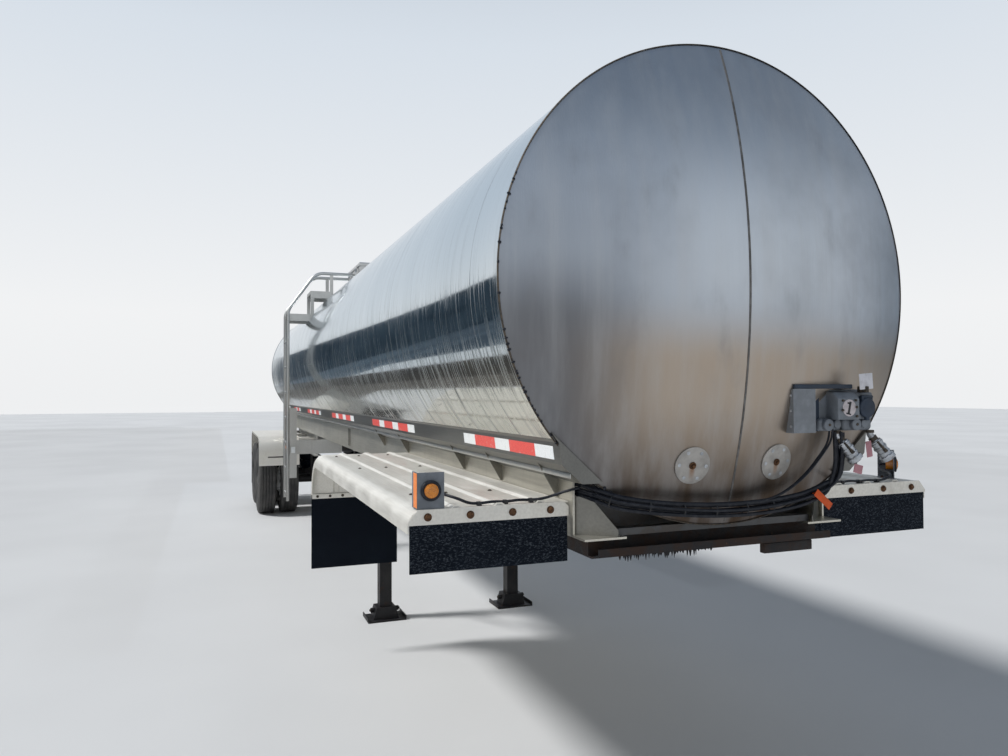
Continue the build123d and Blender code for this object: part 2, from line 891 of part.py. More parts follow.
def leg_solid(side):
    """A square leg on a shoe that pivots on a cross pin, braced forward to the frame."""
    x = at(leg_station)
    y = side * leg_half_spacing
    half = leg_tube / 2
    inner = leg_inner / 2
    outer_tube = block(x - half, x + half, y - half, y + half, leg_bottom_z, coupler_top_z)
    inner_tube = block(x - inner, x + inner, y - inner, y + inner, foot_pivot_z, leg_bottom_z)
    length = foot_length / 2
    width = foot_width / 2
    pad = block(x - length, x + length, y - width, y + width, 0, foot_thickness)
    top = foot_thickness + shoe_height
    shoe = cross_plate(
        [
            (y - shoe_foot_half, foot_thickness), (y + shoe_foot_half, foot_thickness),
            (y + shoe_head_half, top), (y - shoe_head_half, top),
        ],
        x - shoe_depth / 2, shoe_depth,
    )
    reach = foot_pivot_reach
    pivot = bar((x, y - reach, foot_pivot_z), (x, y + reach, foot_pivot_z), foot_pivot_radius)
    width = leg_brace_width * leg_brace_slant
    back = x + half
    front = back + leg_brace_reach
    brace = long_plate(
        [
            (back, leg_brace_low_z), (back, leg_brace_low_z + width),
            (front - width, coupler_top_z), (front, coupler_top_z),
        ],
        y - plate, 2 * plate,
    )
    return outer_tube + inner_tube + pad + shoe + pivot + brace


def make_landing_legs():
    return [leg_solid(1), leg_solid(-1)]


def make_landing_shaft():
    """The cross shaft between the legs, and the gearbox with its crank on the left leg."""
    x = at(leg_station)
    inner = leg_half_spacing - leg_tube / 2
    shaft = bar((x, -inner, leg_shaft_z), (x, inner, leg_shaft_z), leg_shaft_radius)
    y = leg_half_spacing + leg_tube / 2
    half = gearbox_size / 2
    gearbox = block(x - half, x + half, y, y + gearbox_depth, leg_shaft_z - half, leg_shaft_z + half)
    gearbox = fillet(gearbox.edges().filter_by(Axis.Y), 20)
    z = leg_shaft_z + crank_rise
    arm_y = y + gearbox_depth + crank_standoff
    crank = bent_bar(
        [
            (x, y + gearbox_depth / 2, z), (x, arm_y, z), (x, arm_y, z - crank_reach),
            (x, arm_y + crank_grip, z - crank_reach),
        ],
        crank_radius, [crank_bend, crank_bend],
    )
    return [shaft, gearbox + crank]


def make_ladder():
    """Two bent side tubes with rungs, then treads on stepped plates, up to the manhole box."""
    x_middle = at(ladder_station)
    half = ladder_half_width
    pieces = None
    top_z = barrel_crown_z + handrail_rise
    end_y = manhole_box_width / 2 + contact_gap
    for x in (x_middle - half, x_middle + half):
        rail = bent_bar(
            [
                (x, -ladder_y, ladder_bottom_z), (x, -ladder_y, barrel_axis_z + handrail_knee_rise),
                (x, -handrail_top_y, top_z), (x, -end_y, top_z),
            ],
            ladder_tube_radius, [handrail_bend, handrail_bend],
        )
        pieces = rail if pieces is None else pieces + rail
        pieces = pieces + stepped_stringer(x, top_z)
    x0 = x_middle - half
    x1 = x_middle + half
    for index in range(ladder_rungs):
        z = ladder_first_rung_z + index * ladder_pitch
        pieces = pieces + bar((x0, -ladder_y, z), (x1, -ladder_y, z), ladder_rung_radius)
    for outer, inner, z in tread_levels():
        pieces = pieces + block(x0, x1, -outer, -inner, z - tread_thickness, z)
    return clear_of_tank(pieces)


def tread_levels():
    """Each upper tread's outer edge, inner edge and top, as (y, y, z)."""
    levels = []
    outer = ladder_y - tread_inset
    for depth, rise in zip(tread_depths, tread_rises):
        levels.append((outer, outer - depth, barrel_axis_z + rise))
        outer -= depth
    return levels


def stepped_stringer(x, top_z):
    """The plate that carries the upper treads, bears on the barrel and meets the handrail."""
    (outer, step_y, low_z), (_, inner, high_z) = tread_levels()
    t = stringer_height
    w = riser_width
    outline = [
        (-outer, low_z - t), (w - step_y, low_z - t), (w - step_y, high_z - t), (w - inner, high_z - t),
        (w - inner, top_z), (-inner, top_z), (-inner, high_z), (-step_y, high_z), (-step_y, low_z),
        (-outer, low_z),
    ]
    return cross_plate(outline, x - sheet, 2 * sheet)


def make_ladder_outrigger():
    """A channel out from the frame, with an end plate and a web beside each side tube."""
    x = at(ladder_station)
    top = coupler_top_z
    low = top - ladder_bar_drop
    y_out = ladder_y - ladder_tube_radius - contact_gap
    y_in = frame_half_width - frame_flange_width
    half = ladder_bar_width / 2
    wide = ladder_half_width + ladder_bar_margin
    part = block(x - wide, x + wide, -y_out, -y_out + sheet, low, top)
    part = part + block(x + half - sheet, x + half, -y_out, -y_in, low, top)
    part = part + block(x - half, x + half, -y_out, -y_in, top - sheet, top)
    part = part + block(x - half, x + half, -y_out, -y_in, low, low + sheet)
    web_low, web_high = ladder_web_span
    for web_x in (x - ladder_half_width, x + ladder_half_width):
        part = part + block(web_x - sheet, web_x + sheet, -y_out, -y_out + ladder_web_width, web_low, web_high)
    return part


def manhole_bounds(grow=0.0):
    x = at(manhole_station)
    half = manhole_box_length / 2 + grow
    return x - half, x + half, -manhole_box_width / 2 - grow, manhole_box_width / 2 + grow


def make_manhole_box():
    """Four wall sheets that bear on the barrel, with the brackets of the lid's hinge."""
    x0, x1, y0, y1 = manhole_bounds()
    z1 = manhole_box_top_z - manhole_lid_height - contact_gap
    z0 = barrel_axis_z + barrel_radius * 0.9
    low = x0 + sheet + contact_gap
    high = x1 - sheet - contact_gap
    walls = [
        block(x0, x0 + sheet, y0, y1, z0, z1),
        block(x1 - sheet, x1, y0, y1, z0, z1),
        block(low, high, y0, y0 + sheet, z0, z1),
        block(low, high, y1 - sheet, y1, z0, z1),
    ]
    return [clear_of_tank(wall) for wall in walls] + [lid_bracket(end) for end in (-1, 1)]


def lid_hinge():
    """The lid's hinge line, as (y, z), along its left edge."""
    y1 = manhole_bounds(manhole_lid_overhang)[3]
    return y1 + hinge_radius - 1, manhole_box_top_z - manhole_lid_height


def lid_bracket(end):
    """A lug and pin beyond one end of the lid, on a foot that passes under the lid's overhang."""
    y, z = lid_hinge()
    wall = manhole_bounds()[1] - at(manhole_station)
    lid_end = wall + manhole_lid_overhang
    lug = lid_end + hinge_lug_gap
    foot_top = z - hinge_radius - hinge_lug_gap
    foot_bottom = foot_top - 3 * hinge_radius
    y_high = y + hinge_radius
    outside = lug + hinge_lug_thickness
    foot = block(wall + contact_gap, outside, y - 5 * hinge_radius, y_high, foot_bottom, foot_top)
    ear = block(lug, outside, y - hinge_radius, y_high, foot_bottom, z + hinge_radius)
    pin = bar((lid_end - hinge_pin_length, y, z), (outside, y, z), hinge_pin_radius)
    bracket = foot + ear + pin
    if end < 0:
        bracket = mirror(bracket, about=Plane.YZ)
    return Pos(at(manhole_station), 0, 0) * bracket


def make_manhole_lid():
    x0, x1, y0, y1 = manhole_bounds(manhole_lid_overhang)
    z1 = manhole_box_top_z
    z0 = z1 - manhole_lid_height
    wall = manhole_lid_wall
    shell = block(x0, x1, y0, y1, z0, z1)
    shell = fillet(shell.edges().group_by(Axis.Z)[-1], wall / 1.5)
    hollow = block(x0 + wall, x1 - wall, y0 + wall, y1 - wall, z0, z1 - sheet)
    y, z = lid_hinge()
    lid = shell - hollow + bar((x0, y, z), (x1, y, z), hinge_radius)
    for spot in lid_latch_spots:
        low = at(manhole_station) + spot - lid_latch_width / 2
        high = low + lid_latch_width
        lid = lid + block(low, high, y0 - lid_latch_thickness, y0, z0 - lid_latch_drop, z1 - wall)
    bore = hinge_pin_radius + running_clearance
    depth = hinge_pin_length + running_clearance
    for mouth, end in ((x0 - 1, x0 + depth), (x1 - depth, x1 + 1)):
        lid = lid - bar((mouth, y, z), (end, y, z), bore)
    return lid


def make_manhole_cover():
    x = at(manhole_station)
    z = barrel_crown_z
    top = z + manhole_neck_height
    neck = bar((x, 0, z - manhole_neck_height), (x, 0, top), manhole_neck_radius)
    lip = manhole_neck_radius + manhole_cover_lip
    part = neck + bar((x, 0, top), (x, 0, top + manhole_cover_thickness), lip)
    for index in range(cover_clamps):
        turn = Pos(x, 0, top) * Rot(0, 0, 360 * index / cover_clamps)
        half = cover_clamp_width / 2
        r = manhole_neck_radius
        foot = block(r - half, lip, -half, half, 0, manhole_cover_thickness + plate)
        part = part + turn * (foot + bar((r, 0, 0), (r, 0, cover_clamp_height), cover_clamp_radius))
    return clear_of_tank(part)


def make_rear_subframe():
    pieces = None
    x0 = at(subframe_rear_station)
    x1 = at(subframe_front_station)
    z1 = coupler_top_z
    z0 = z1 - subframe_depth
    for side in (-1, 1):
        y = side * subframe_half_spacing
        half = subframe_flange / 2
        web = block(x0, x1, y - plate / 2, y + plate / 2, z0, z1)
        low = block(x0, x1, y - half, y + half, z0, z0 + plate * 1.5)
        high = block(x0, x1, y - half, y + half, z1 - plate * 1.5, z1)
        rail = web + low + high
        pieces = rail if pieces is None else pieces + rail
    hangers = [station - hanger_lead for station in axle_stations]
    for station in [subframe_front_station + 30, *hangers, axle_stations[1] + 180]:
        x = at(station)
        pieces = pieces + block(
            x - 30, x + 30, -subframe_half_spacing, subframe_half_spacing, z0 + 60, z0 + 240
        )
    return pieces


def make_suspension():
    """A trailing arm at each wheel pair, between the two cheeks of its hanger, with a shock absorber."""
    beam_z = coupler_top_z - subframe_depth
    seat_z = axle_z + axle_tube_radius + contact_gap
    half = hanger_length / 2
    pieces = []
    for station in axle_stations:
        for side in (-1, 1):
            x = at(station)
            y = side * subframe_half_spacing
            pivot_x = x + hanger_lead
            low = arm_z - hanger_foot
            cheek = [
                (pivot_x - half, beam_z), (pivot_x + half, beam_z),
                (pivot_x + hanger_foot, low), (pivot_x - hanger_foot, low),
            ]
            gap = arm_width / 2 + 2
            part = long_plate(cheek, y - gap - plate, plate) + long_plate(cheek, y + gap, plate)
            wide = gap + plate
            part = part + block(pivot_x - half, pivot_x + half, y - wide, y + wide, beam_z - plate, beam_z)
            arm = [
                (pivot_x + 40, arm_z + 35), (pivot_x + 40, arm_z - 35), (x + 80, seat_z), (x - arm_tail, seat_z),
                (x - arm_tail, arm_z + 10), (x - 120, arm_z + 10), (x + 60, arm_z + 45),
            ]
            part = part + long_plate(arm, y - arm_width / 2, arm_width)
            reach = wide + plate
            part = part + bar((pivot_x, y - reach, arm_z), (pivot_x, y + reach, arm_z), arm_pin_radius)
            top = (pivot_x - shock_lead, beam_z - plate - shock_top_drop)
            foot = (x + shock_low_lead, arm_z + hanger_foot / 2)
            part = part + bar((top[0], y - gap, top[1]), (top[0], y + gap, top[1]), shock_rod_radius)
            pieces.append(part + shock_absorber(foot, top, y))
    return pieces


def shock_absorber(foot, top, y):
    """A rod that enters the wider tube above it, between two (x, z) points."""
    x = foot[0] + (top[0] - foot[0]) * shock_rod_share
    z = foot[1] + (top[1] - foot[1]) * shock_rod_share
    rod = bar((foot[0], y, foot[1]), (x, y, z), shock_rod_radius)
    return rod + bar((x, y, z), (top[0], y, top[1]), shock_radius)


def make_air_springs():
    pieces = []
    top = coupler_top_z - subframe_depth
    low = arm_z + 10
    for station in axle_stations:
        for side in (-1, 1):
            x = at(station) - spring_lead
            y = side * subframe_half_spacing
            r = spring_radius
            half = (top - low - 2 * spring_plate) / 2
            outline = Polyline(
                (0, low), (r * 0.8, low), (r * 0.8, low + spring_plate), (r, low + spring_plate + half * 0.4),
                (r, low + spring_plate + half * 0.8), (r * 0.88, low + spring_plate + half),
                (r, low + spring_plate + half * 1.2), (r, low + spring_plate + half * 1.6),
                (r * 0.8, top - spring_plate), (r * 0.8, top), (0, top), close=True,
            )
            body = revolve(Plane.XZ * make_face(outline), axis=Axis.Z, revolution_arc=360)
            pieces.append(Pos(x, y, 0) * body)
    return pieces


def make_axles():
    pieces = []
    inner_face = dual_half_track - hub_inboard - drum_length
    for station in axle_stations:
        x = at(station)
        axle = bar((x, -inner_face + 20, axle_z), (x, inner_face - 20, axle_z), axle_tube_radius)
        for side in (-1, 1):
            tip = side * (dual_half_track + hub_reach - 60)
            axle = axle + bar((x, side * (inner_face - 20), axle_z), (x, tip, axle_z), spindle_radius)
            shield_y = side * (inner_face + 12)
            axle = axle + bar((x, shield_y, axle_z), (x, shield_y + side * 6, axle_z), shield_radius)
            chamber_x = x - chamber_setback
            y = side * chamber_y
            chamber = bar((chamber_x - chamber_length, y, axle_z - 20), (chamber_x, y, axle_z - 20), chamber_radius)
            arm = block(chamber_x, x, y - 20, y + 20, axle_z - 40, axle_z)
            axle = axle + chamber + arm
        pieces.append(axle)
    return pieces


def wheel_profile():
    """Half section of a disc wheel, as (distance along the axle from the disc's face, radius)."""
    low = rim_offset - rim_width / 2
    high = rim_offset + rim_width / 2
    seat = rim_radius
    lip = rim_radius + flange_height
    wall = rim_wall
    reach = disc_rim_reach
    return [
        (0, hub_radius), (disc_thickness, hub_radius), (disc_thickness, disc_flat_radius),
        (reach + disc_thickness, well_radius - wall), (high - 3 * wall, well_radius - wall),
        (high - wall, seat - wall), (high, seat - wall), (high, lip), (high - flange_width, lip),
        (high - flange_width - 4, seat), (high - 3 * wall, seat), (high - 4 * wall, well_radius),
        (reach + wall, well_radius), (low + 3 * wall, seat), (low + flange_width + 4, seat),
        (low + flange_width, lip), (low, lip), (low, well_radius - wall), (reach, well_radius - wall),
        (0, disc_flat_radius + disc_thickness / 2),
    ]


def y_revolve(points, y, direction):
    face = make_face(Polyline(*[(r, direction * d) for d, r in points], close=True))
    return Pos(0, y, 0) * revolve(face, axis=Axis.Y, revolution_arc=360)


def make_rims(station, side):
    disc_y = side * dual_half_track
    outer = y_revolve(wheel_profile(), disc_y, side)
    inner = y_revolve(wheel_profile(), disc_y, -side)
    hub = [
        (-hub_inboard - drum_length, drum_radius), (-hub_inboard - drum_length, drum_radius - drum_wall),
        (-hub_inboard - 24, drum_radius - drum_wall), (-hub_inboard - 24, spindle_radius + hub_bore_clearance),
        (hub_reach - 50, spindle_radius + hub_bore_clearance), (hub_reach - 50, 0), (hub_reach, 0),
        (hub_reach, 62), (hub_reach - 14, 70), (40, hub_radius - 20), (22, hub_radius), (-hub_inboard, hub_radius),
        (-hub_inboard, drum_radius),
    ]
    wheel = outer + inner + y_revolve(hub, disc_y, side)
    reach = disc_rim_reach + disc_thickness
    for index in range(hand_holes):
        turn = radians(360 * index / hand_holes)
        x = hand_hole_circle * cos(turn)
        z = hand_hole_circle * sin(turn)
        wheel = wheel - bar((x, disc_y - reach, z), (x, disc_y + reach, z), hand_hole_radius)
    return Pos(at(station), 0, axle_z) * wheel


def make_tyres(station, side):
    t = tyre_half_section
    bead = rim_width / 2 - 17
    left = [
        (-bead, rim_radius + contact_gap), (-bead, rim_radius + 18), (-t * 0.92, rim_radius + 70),
        (-t, rim_radius + 120), (-t * 0.96, tyre_shoulder_radius - 50),
        (-tyre_tread_half - 6, tyre_shoulder_radius), (-tyre_tread_half, tyre_radius),
    ]
    right = [(-d, r) for d, r in reversed(left)]
    pieces = []
    for centre in (rim_offset, -rim_offset):
        pieces.append(
            Pos(at(station), 0, axle_z) * y_revolve(left + right, side * (dual_half_track + centre), side)
        )
    return pieces


def rear_fender_span():
    back = at(axle_stations[1]) - tyre_radius - rear_fender_clearance
    front = at(axle_stations[0]) + tyre_radius + rear_fender_clearance
    return back, front


def fender_band(inset, y_low, width):
    back, front = rear_fender_span()
    r = rear_fender_corner
    top = rear_fender_top_z
    foot = rear_fender_bottom_z
    mid = sqrt(0.5)

    def outline(d):
        q = r - d
        return [
            Line((back + d, foot), (back + d, top - r)),
            ThreePointArc((back + d, top - r), (back + r - q * mid, top - r + q * mid), (back + r, top - d)),
            Line((back + r, top - d), (front - r, top - d)),
            ThreePointArc((front - r, top - d), (front - r + q * mid, top - r + q * mid), (front - d, top - r)),
            Line((front - d, top - r), (front - d, foot)),
        ]

    lines = outline(0) + outline(inset)
    lines.append(Line((back, foot), (back + inset, foot)))
    lines.append(Line((front, foot), (front - inset, foot)))
    face = make_face(lines)
    plane = Plane(origin=(0, y_low + width, 0), x_dir=(1, 0, 0), z_dir=(0, -1, 0))
    return extrude(plane * face, amount=width)


def make_rear_fenders():
    back, front = rear_fender_span()
    width = rear_fender_outer_y - rear_fender_inner_y
    skin = fender_band(sheet, rear_fender_inner_y, width)
    lip = fender_band(rear_fender_lip, rear_fender_outer_y - sheet, sheet)
    inner = fender_band(rear_fender_lip, rear_fender_inner_y, sheet)
    middle = (rear_fender_inner_y + rear_fender_outer_y) / 2
    slot = block(
        front - 2 * sheet, front + 1, middle - fender_slot_length / 2, middle + fender_slot_length / 2,
        rear_fender_top_z - rear_fender_corner - 60, rear_fender_top_z - rear_fender_corner - 60 + fender_slot_height,
    )
    part = skin + lip + inner - slot
    z = rear_fender_top_z - 40
    for station in (axle_stations[0] - 480, sum(axle_stations) / 2, axle_stations[1] + 460):
        x = at(station)
        web_y = subframe_half_spacing + plate / 2
        part = part + bar((x, web_y, z), (x, rear_fender_inner_y + 40, z), bracket_tube_radius)
    return both_sides(part)


def cabinet_bounds():
    return tail_rim_x - cabinet_depth, tail_rim_x


def door_levels():
    low = cabinet_bottom_z + hinge_lug_thickness + hinge_lug_gap
    high = cabinet_top_z - hinge_lug_thickness - hinge_lug_gap
    return low, high


def door_hinge(side):
    back = cabinet_bounds()[0]
    return back - door_gap - door_thickness / 2, side * (cabinet_half_width + hinge_radius - 1)


def door_bracket(side, end):
    """The hinge lug and pin at a door's foot (end -1) or head (end 1), on the cabinet's back edge."""
    back = cabinet_bounds()[0]
    x, y = door_hinge(side)
    low, high = door_levels()
    edge = cabinet_bottom_z if end < 0 else cabinet_top_z
    tip = low + hinge_pin_length if end < 0 else high - hinge_pin_length
    y_low, y_high = sorted((y + side * hinge_radius, side * (cabinet_half_width - 3 * hinge_radius)))
    z_low, z_high = sorted((edge, edge - end * hinge_lug_thickness))
    lug = block(x - hinge_radius, back - contact_gap, y_low, y_high, z_low, z_high)
    return lug + bar((x, y, edge), (x, y, tip), hinge_pin_radius)


def make_cabinet():
    """Floor, roof, side and front panels, with the doors' hinge brackets."""
    back, front = cabinet_bounds()
    half = cabinet_half_width
    inner = half - sheet - contact_gap
    front_x = front - sheet - contact_gap
    floor_z = cabinet_bottom_z + cabinet_floor
    roof_z = cabinet_top_z - sheet
    low = floor_z + contact_gap
    high = roof_z - contact_gap
    pieces = [
        block(back, front, -half, half, cabinet_bottom_z, floor_z),
        block(back, front, -half, half, roof_z, cabinet_top_z),
        block(front_x + contact_gap, front, -inner, inner, low, high),
    ]
    pieces += both_sides(block(back, front, half - sheet, half, low, high))
    pieces = [clear_of_tank(piece) for piece in pieces]
    return pieces + [door_bracket(side, end) for side in (-1, 1) for end in (-1, 1)]


def make_door(side):
    back = cabinet_bounds()[0]
    x, y = door_hinge(side)
    low, high = door_levels()
    y_low, y_high = sorted((side * door_gap / 2, side * cabinet_half_width))
    door = block(back - door_gap - door_thickness, back - door_gap, y_low, y_high, low, high)
    door = fillet(door.edges().filter_by(Axis.X), 14)
    outside = back - door_gap - door_thickness
    margin = door_panel_margin
    recess = block(
        outside - 1, outside + door_panel_depth, y_low + margin * 1.6, y_high - margin * 1.6, low + margin, high - margin
    )
    door = door - recess
    grip_y = side * door_handle_inset
    grip_z = (low + high) / 2
    reach = outside - door_handle_standoff
    half = door_handle_length / 2
    wide = door_handle_width / 2
    door = door + bar((outside + 1, grip_y, grip_z), (reach, grip_y, grip_z), door_handle_radius)
    door = door + block(
        reach - door_handle_width, reach, grip_y - wide, grip_y + wide, grip_z - half, grip_z + half
    )
    door = door + bar((x, y, low), (x, y, high), hinge_radius)
    bore = hinge_pin_radius + running_clearance
    depth = hinge_pin_length + running_clearance
    door = door - bar((x, y, low - 1), (x, y, low + depth), bore)
    return door - bar((x, y, high - depth), (x, y, high + 1), bore)


def make_outlet_valve():
    x_face = tail_rim_x - head_rim_width
    z = valve_z
    x = tail_rim_x - valve_station_gap
    end = x - valve_reach
    pipe = bar((x_face, 0, z), (end, 0, z), pipe_radius)
    body = bar((x - 20, 0, z), (x - 150, 0, z), pipe_radius * 1.7)
    bonnet = bar((x - 85, 0, z), (x - 85, 0, z + 150), pipe_radius * 0.9)
    ferrule = bar((end, 0, z), (end + ferrule_length, 0, z), ferrule_radius)
    bore = bar((end - 1, 0, z), (end + 120, 0, z), pipe_bore)
    return clear_of_tank(pipe + body + bonnet + ferrule - bore)


def make_bumper():
    x0 = -nose_x
    post_z = coupler_top_z - subframe_depth
    beam = block(x0, x0 + bumper_thickness, -bumper_half_width, bumper_half_width, bumper_z, bumper_z + bumper_height)
    for side in (-1, 1):
        y = side * bumper_post_y
        beam = beam + block(x0 + bumper_thickness, x0 + bumper_thickness + 70, y - 50, y + 50, bumper_z, post_z + 120)
        beam = beam + block(x0 + bumper_thickness + 70, at(subframe_rear_station), y - 30, y + 30, post_z + 20, post_z + 120)
        bar_low, bar_high = sorted((side * (bumper_post_y + 50), side * lamp_bar_outer_y))
        beam = beam + block(x0 + bumper_thickness, x0 + bumper_thickness + 60, bar_low, bar_high, lamp_bar_z, lamp_bar_z + lamp_bar_height)
    return beam


def make_tail_lamps():
    x = -nose_x + bumper_thickness
    pieces = []
    z = lamp_bar_z + lamp_bar_height / 2
    span = lamp_bar_outer_y - lamp_bar_inner_y
    for index in range(tail_lamp_count):
        y = lamp_bar_inner_y + span * (index + 0.5) / tail_lamp_count
        pieces += both_sides(bar((x, y, z), (x - 18, y, z), tail_lamp_radius))
    return pieces


def make_reservoirs():
    """Two air tanks strapped under flat bars that bolt to the frame's sole."""
    hanger_low = coupler_top_z - plate
    z = hanger_low - reservoir_radius - contact_gap
    strap = reservoir_strap_width / 2
    x = at(reservoir_station)
    part = None
    for end in (-1, 1):
        strap_x = x + end * reservoir_length / 4
        hanger = block(
            strap_x - strap, strap_x + strap, -reservoir_hanger_half, reservoir_hanger_half, hanger_low, coupler_top_z
        )
        part = hanger if part is None else part + hanger
        for y in reservoir_spots:
            band = bar((strap_x - strap, y, z), (strap_x + strap, y, z), reservoir_radius + sheet)
            part = part + band
    for y in reservoir_spots:
        tank = bar((x - reservoir_length / 2, y, z), (x + reservoir_length / 2, y, z), reservoir_radius)
        part = part + fillet(tank.edges().filter_by(GeomType.CIRCLE), 50)
    return part


def held_tube(route, radius):
    lengths = [(Vector(*b) - Vector(*a)).length for a, b in zip(route, route[1:])]
    bends = []
    for index in range(1, len(route) - 1):
        before = Vector(*route[index]) - Vector(*route[index - 1])
        after = Vector(*route[index + 1]) - Vector(*route[index])
        turn = radians(before.get_angle(after))
        bends.append(0.45 * min(lengths[index - 1], lengths[index]) / tan(turn / 2))
    print("bend radii", [round(value) for value in bends])
    path = FilletPolyline(*route, radius=bends)
    profile = Plane(origin=path @ 0, z_dir=path % 0) * Circle(radius)
    return sweep(profile, path=path)


def wire_point(side, behind, outward, above):
    """A place near a fender's front: behind its front, out from its inner edge, above its top."""
    return Vector(at(fender_front_station + behind), side * (fender_inner_y + outward), fender_top_z + above)


def make_lamp_wires():
    """From each marker lamp's back, round over the fender's front edge to the nose."""
    pieces = []
    for side, last in ((-1, lamp_wire_right_end), (1, lamp_wire_left_end)):
        place = marker_place(side)
        back = (place * Pos(-marker_body_depth, 0, marker_height / 2)).position
        out = (place * Pos(-marker_body_depth - 34, 0, marker_height / 2)).position
        low = (place * Pos(-marker_body_depth - 26, -side * 64, 44)).position
        route = [back, out, low] + [wire_point(side, *step) for step in lamp_wire_run + last]
        pieces.append(held_tube([tuple(point) for point in route], lamp_wire_radius))
    return pieces


os.makedirs("parts", exist_ok=True)

parts = {
    "tank_barrel": make_barrel(),
    "front_head": make_front_head(),
    "rear_head": make_rear_head(),
    "side_rails": make_side_rails(),
    "frame_rails": make_frame_rails(),
    "saddles": make_saddles(),
    "outriggers": make_outriggers() + make_gussets(),
    "coupler_plate": make_coupler(),
    "kingpin": make_kingpin(),
    "front_fender_left": make_fender(),
    "front_fender_right": mirror(make_fender(), about=Plane.XZ),
    "fender_brackets": make_fender_brackets(),
    "rubber_flaps": make_flaps(),
    "marker_brackets": make_marker_brackets(),
    "marker_lamps": make_marker_lamps(),
    "connector_box": make_connector_box(),
    "gladhands": make_gladhands(),
    "cable_bundle": make_cable_bundle(),
    "lamp_wires": make_lamp_wires(),
    "landing_legs": make_landing_legs(),
    "landing_shaft": make_landing_shaft(),
    "ladder": make_ladder(),
    "ladder_outrigger": make_ladder_outrigger(),
    "manhole_box": make_manhole_box(),
    "manhole_lid": make_manhole_lid(),
    "manhole_cover": make_manhole_cover(),
    "rear_subframe": make_rear_subframe(),
    "suspension": make_suspension(),
    "air_springs": make_air_springs(),
    "axles": make_axles(),
    "rear_fenders": make_rear_fenders(),
    "valve_cabinet": make_cabinet(),
    "cabinet_door_left": make_door(1),
    "cabinet_door_right": make_door(-1),
    "outlet_valve": make_outlet_valve(),
    "rear_bumper": make_bumper(),
    "tail_lamps": make_tail_lamps(),
    "air_reservoirs": make_reservoirs(),
}
for index, station in enumerate(axle_stations):
    for name, side in (("left", 1), ("right", -1)):
        parts[f"wheel_{index + 1}_{name}_rims"] = make_rims(station, side)
        parts[f"wheel_{index + 1}_{name}_tyres"] = make_tyres(station, side)

for name, part in parts.items():
    solids = part if isinstance(part, list) else [part]
    loose = [solid for piece in solids for solid in piece.solids()]
    export_step(Compound(children=loose) if len(loose) > 1 else loose[0], f"parts/{name}.step")
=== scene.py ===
import math
import random

import bpy
from mathutils import Matrix, Vector


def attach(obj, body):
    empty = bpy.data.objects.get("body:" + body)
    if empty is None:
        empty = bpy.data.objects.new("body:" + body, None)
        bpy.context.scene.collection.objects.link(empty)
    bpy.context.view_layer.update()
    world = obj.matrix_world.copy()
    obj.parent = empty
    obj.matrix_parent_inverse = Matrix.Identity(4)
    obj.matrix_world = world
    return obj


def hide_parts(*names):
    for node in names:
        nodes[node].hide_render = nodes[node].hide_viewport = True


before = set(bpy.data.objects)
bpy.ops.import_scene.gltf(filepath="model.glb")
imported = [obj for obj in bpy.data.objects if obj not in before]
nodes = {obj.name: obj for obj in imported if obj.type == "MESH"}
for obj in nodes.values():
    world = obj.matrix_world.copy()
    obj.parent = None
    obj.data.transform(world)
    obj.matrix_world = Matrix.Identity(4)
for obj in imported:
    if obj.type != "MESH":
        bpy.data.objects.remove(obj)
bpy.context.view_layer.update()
rootBody = "trailer"
chance = random.Random(7)

# Main places of the trailer, in metres
tank = {
    "radius": 0.965, "axisZ": 2.33, "rimX": 6.054, "tailX": -5.546, "dish": 0.19, "rimWidth": 0.012,
    "cuts": (0.35, 4.2, 8.1, 10.2),
}
covers = {
    "radius": 0.075, "spread": 0.4, "drop": 0.72, "thick": 0.012, "lip": (0.004, 0.0012), "pan": (0.05, -0.0015),
    "seat": -0.002, "washer": (0.0105, 0.0042), "bolt": (0.013, 0.009), "boltLift": 0.005, "boltTurn": 0.4,
    "marks": 6, "mark": (0.0075, 0.0007), "markCircle": 0.058, "markLift": 0.0052, "markStart": 30, "markTurn": 8,
}
fender = {"frontX": 5.924, "innerY": 0.626, "outerY": 1.268, "topZ": 1.467, "rearX": 2.944}


def at(station):  # a distance behind the front head's rim
    return tank["rimX"] - station


# Shader helpers

class Wire:  # a socket that can stand in a sum
    def __init__(self, mixer, socket):
        self.mixer = mixer
        self.socket = socket

    def combine(self, operation, *values):
        return self.mixer.add("ShaderNodeMath", {"operation": operation}, dict(enumerate(values)))

    def __add__(self, other):
        return self.combine("ADD", self, other)

    def __sub__(self, other):
        return self.combine("SUBTRACT", self, other)

    def __rsub__(self, other):
        return self.combine("SUBTRACT", other, self)

    def __mul__(self, other):
        return self.combine("MULTIPLY", self, other)

    def __abs__(self):
        return self.combine("ABSOLUTE", self)

    __radd__ = __add__
    __rmul__ = __mul__

    def wrap(self, length):
        return self.combine("PINGPONG", self, length)

    def between(self, low, high):  # an eased change from 0 to 1
        settings = {"interpolation_type": "SMOOTHSTEP"}
        return self.mixer.add("ShaderNodeMapRange", settings, {0: self, 1: low, 2: high})


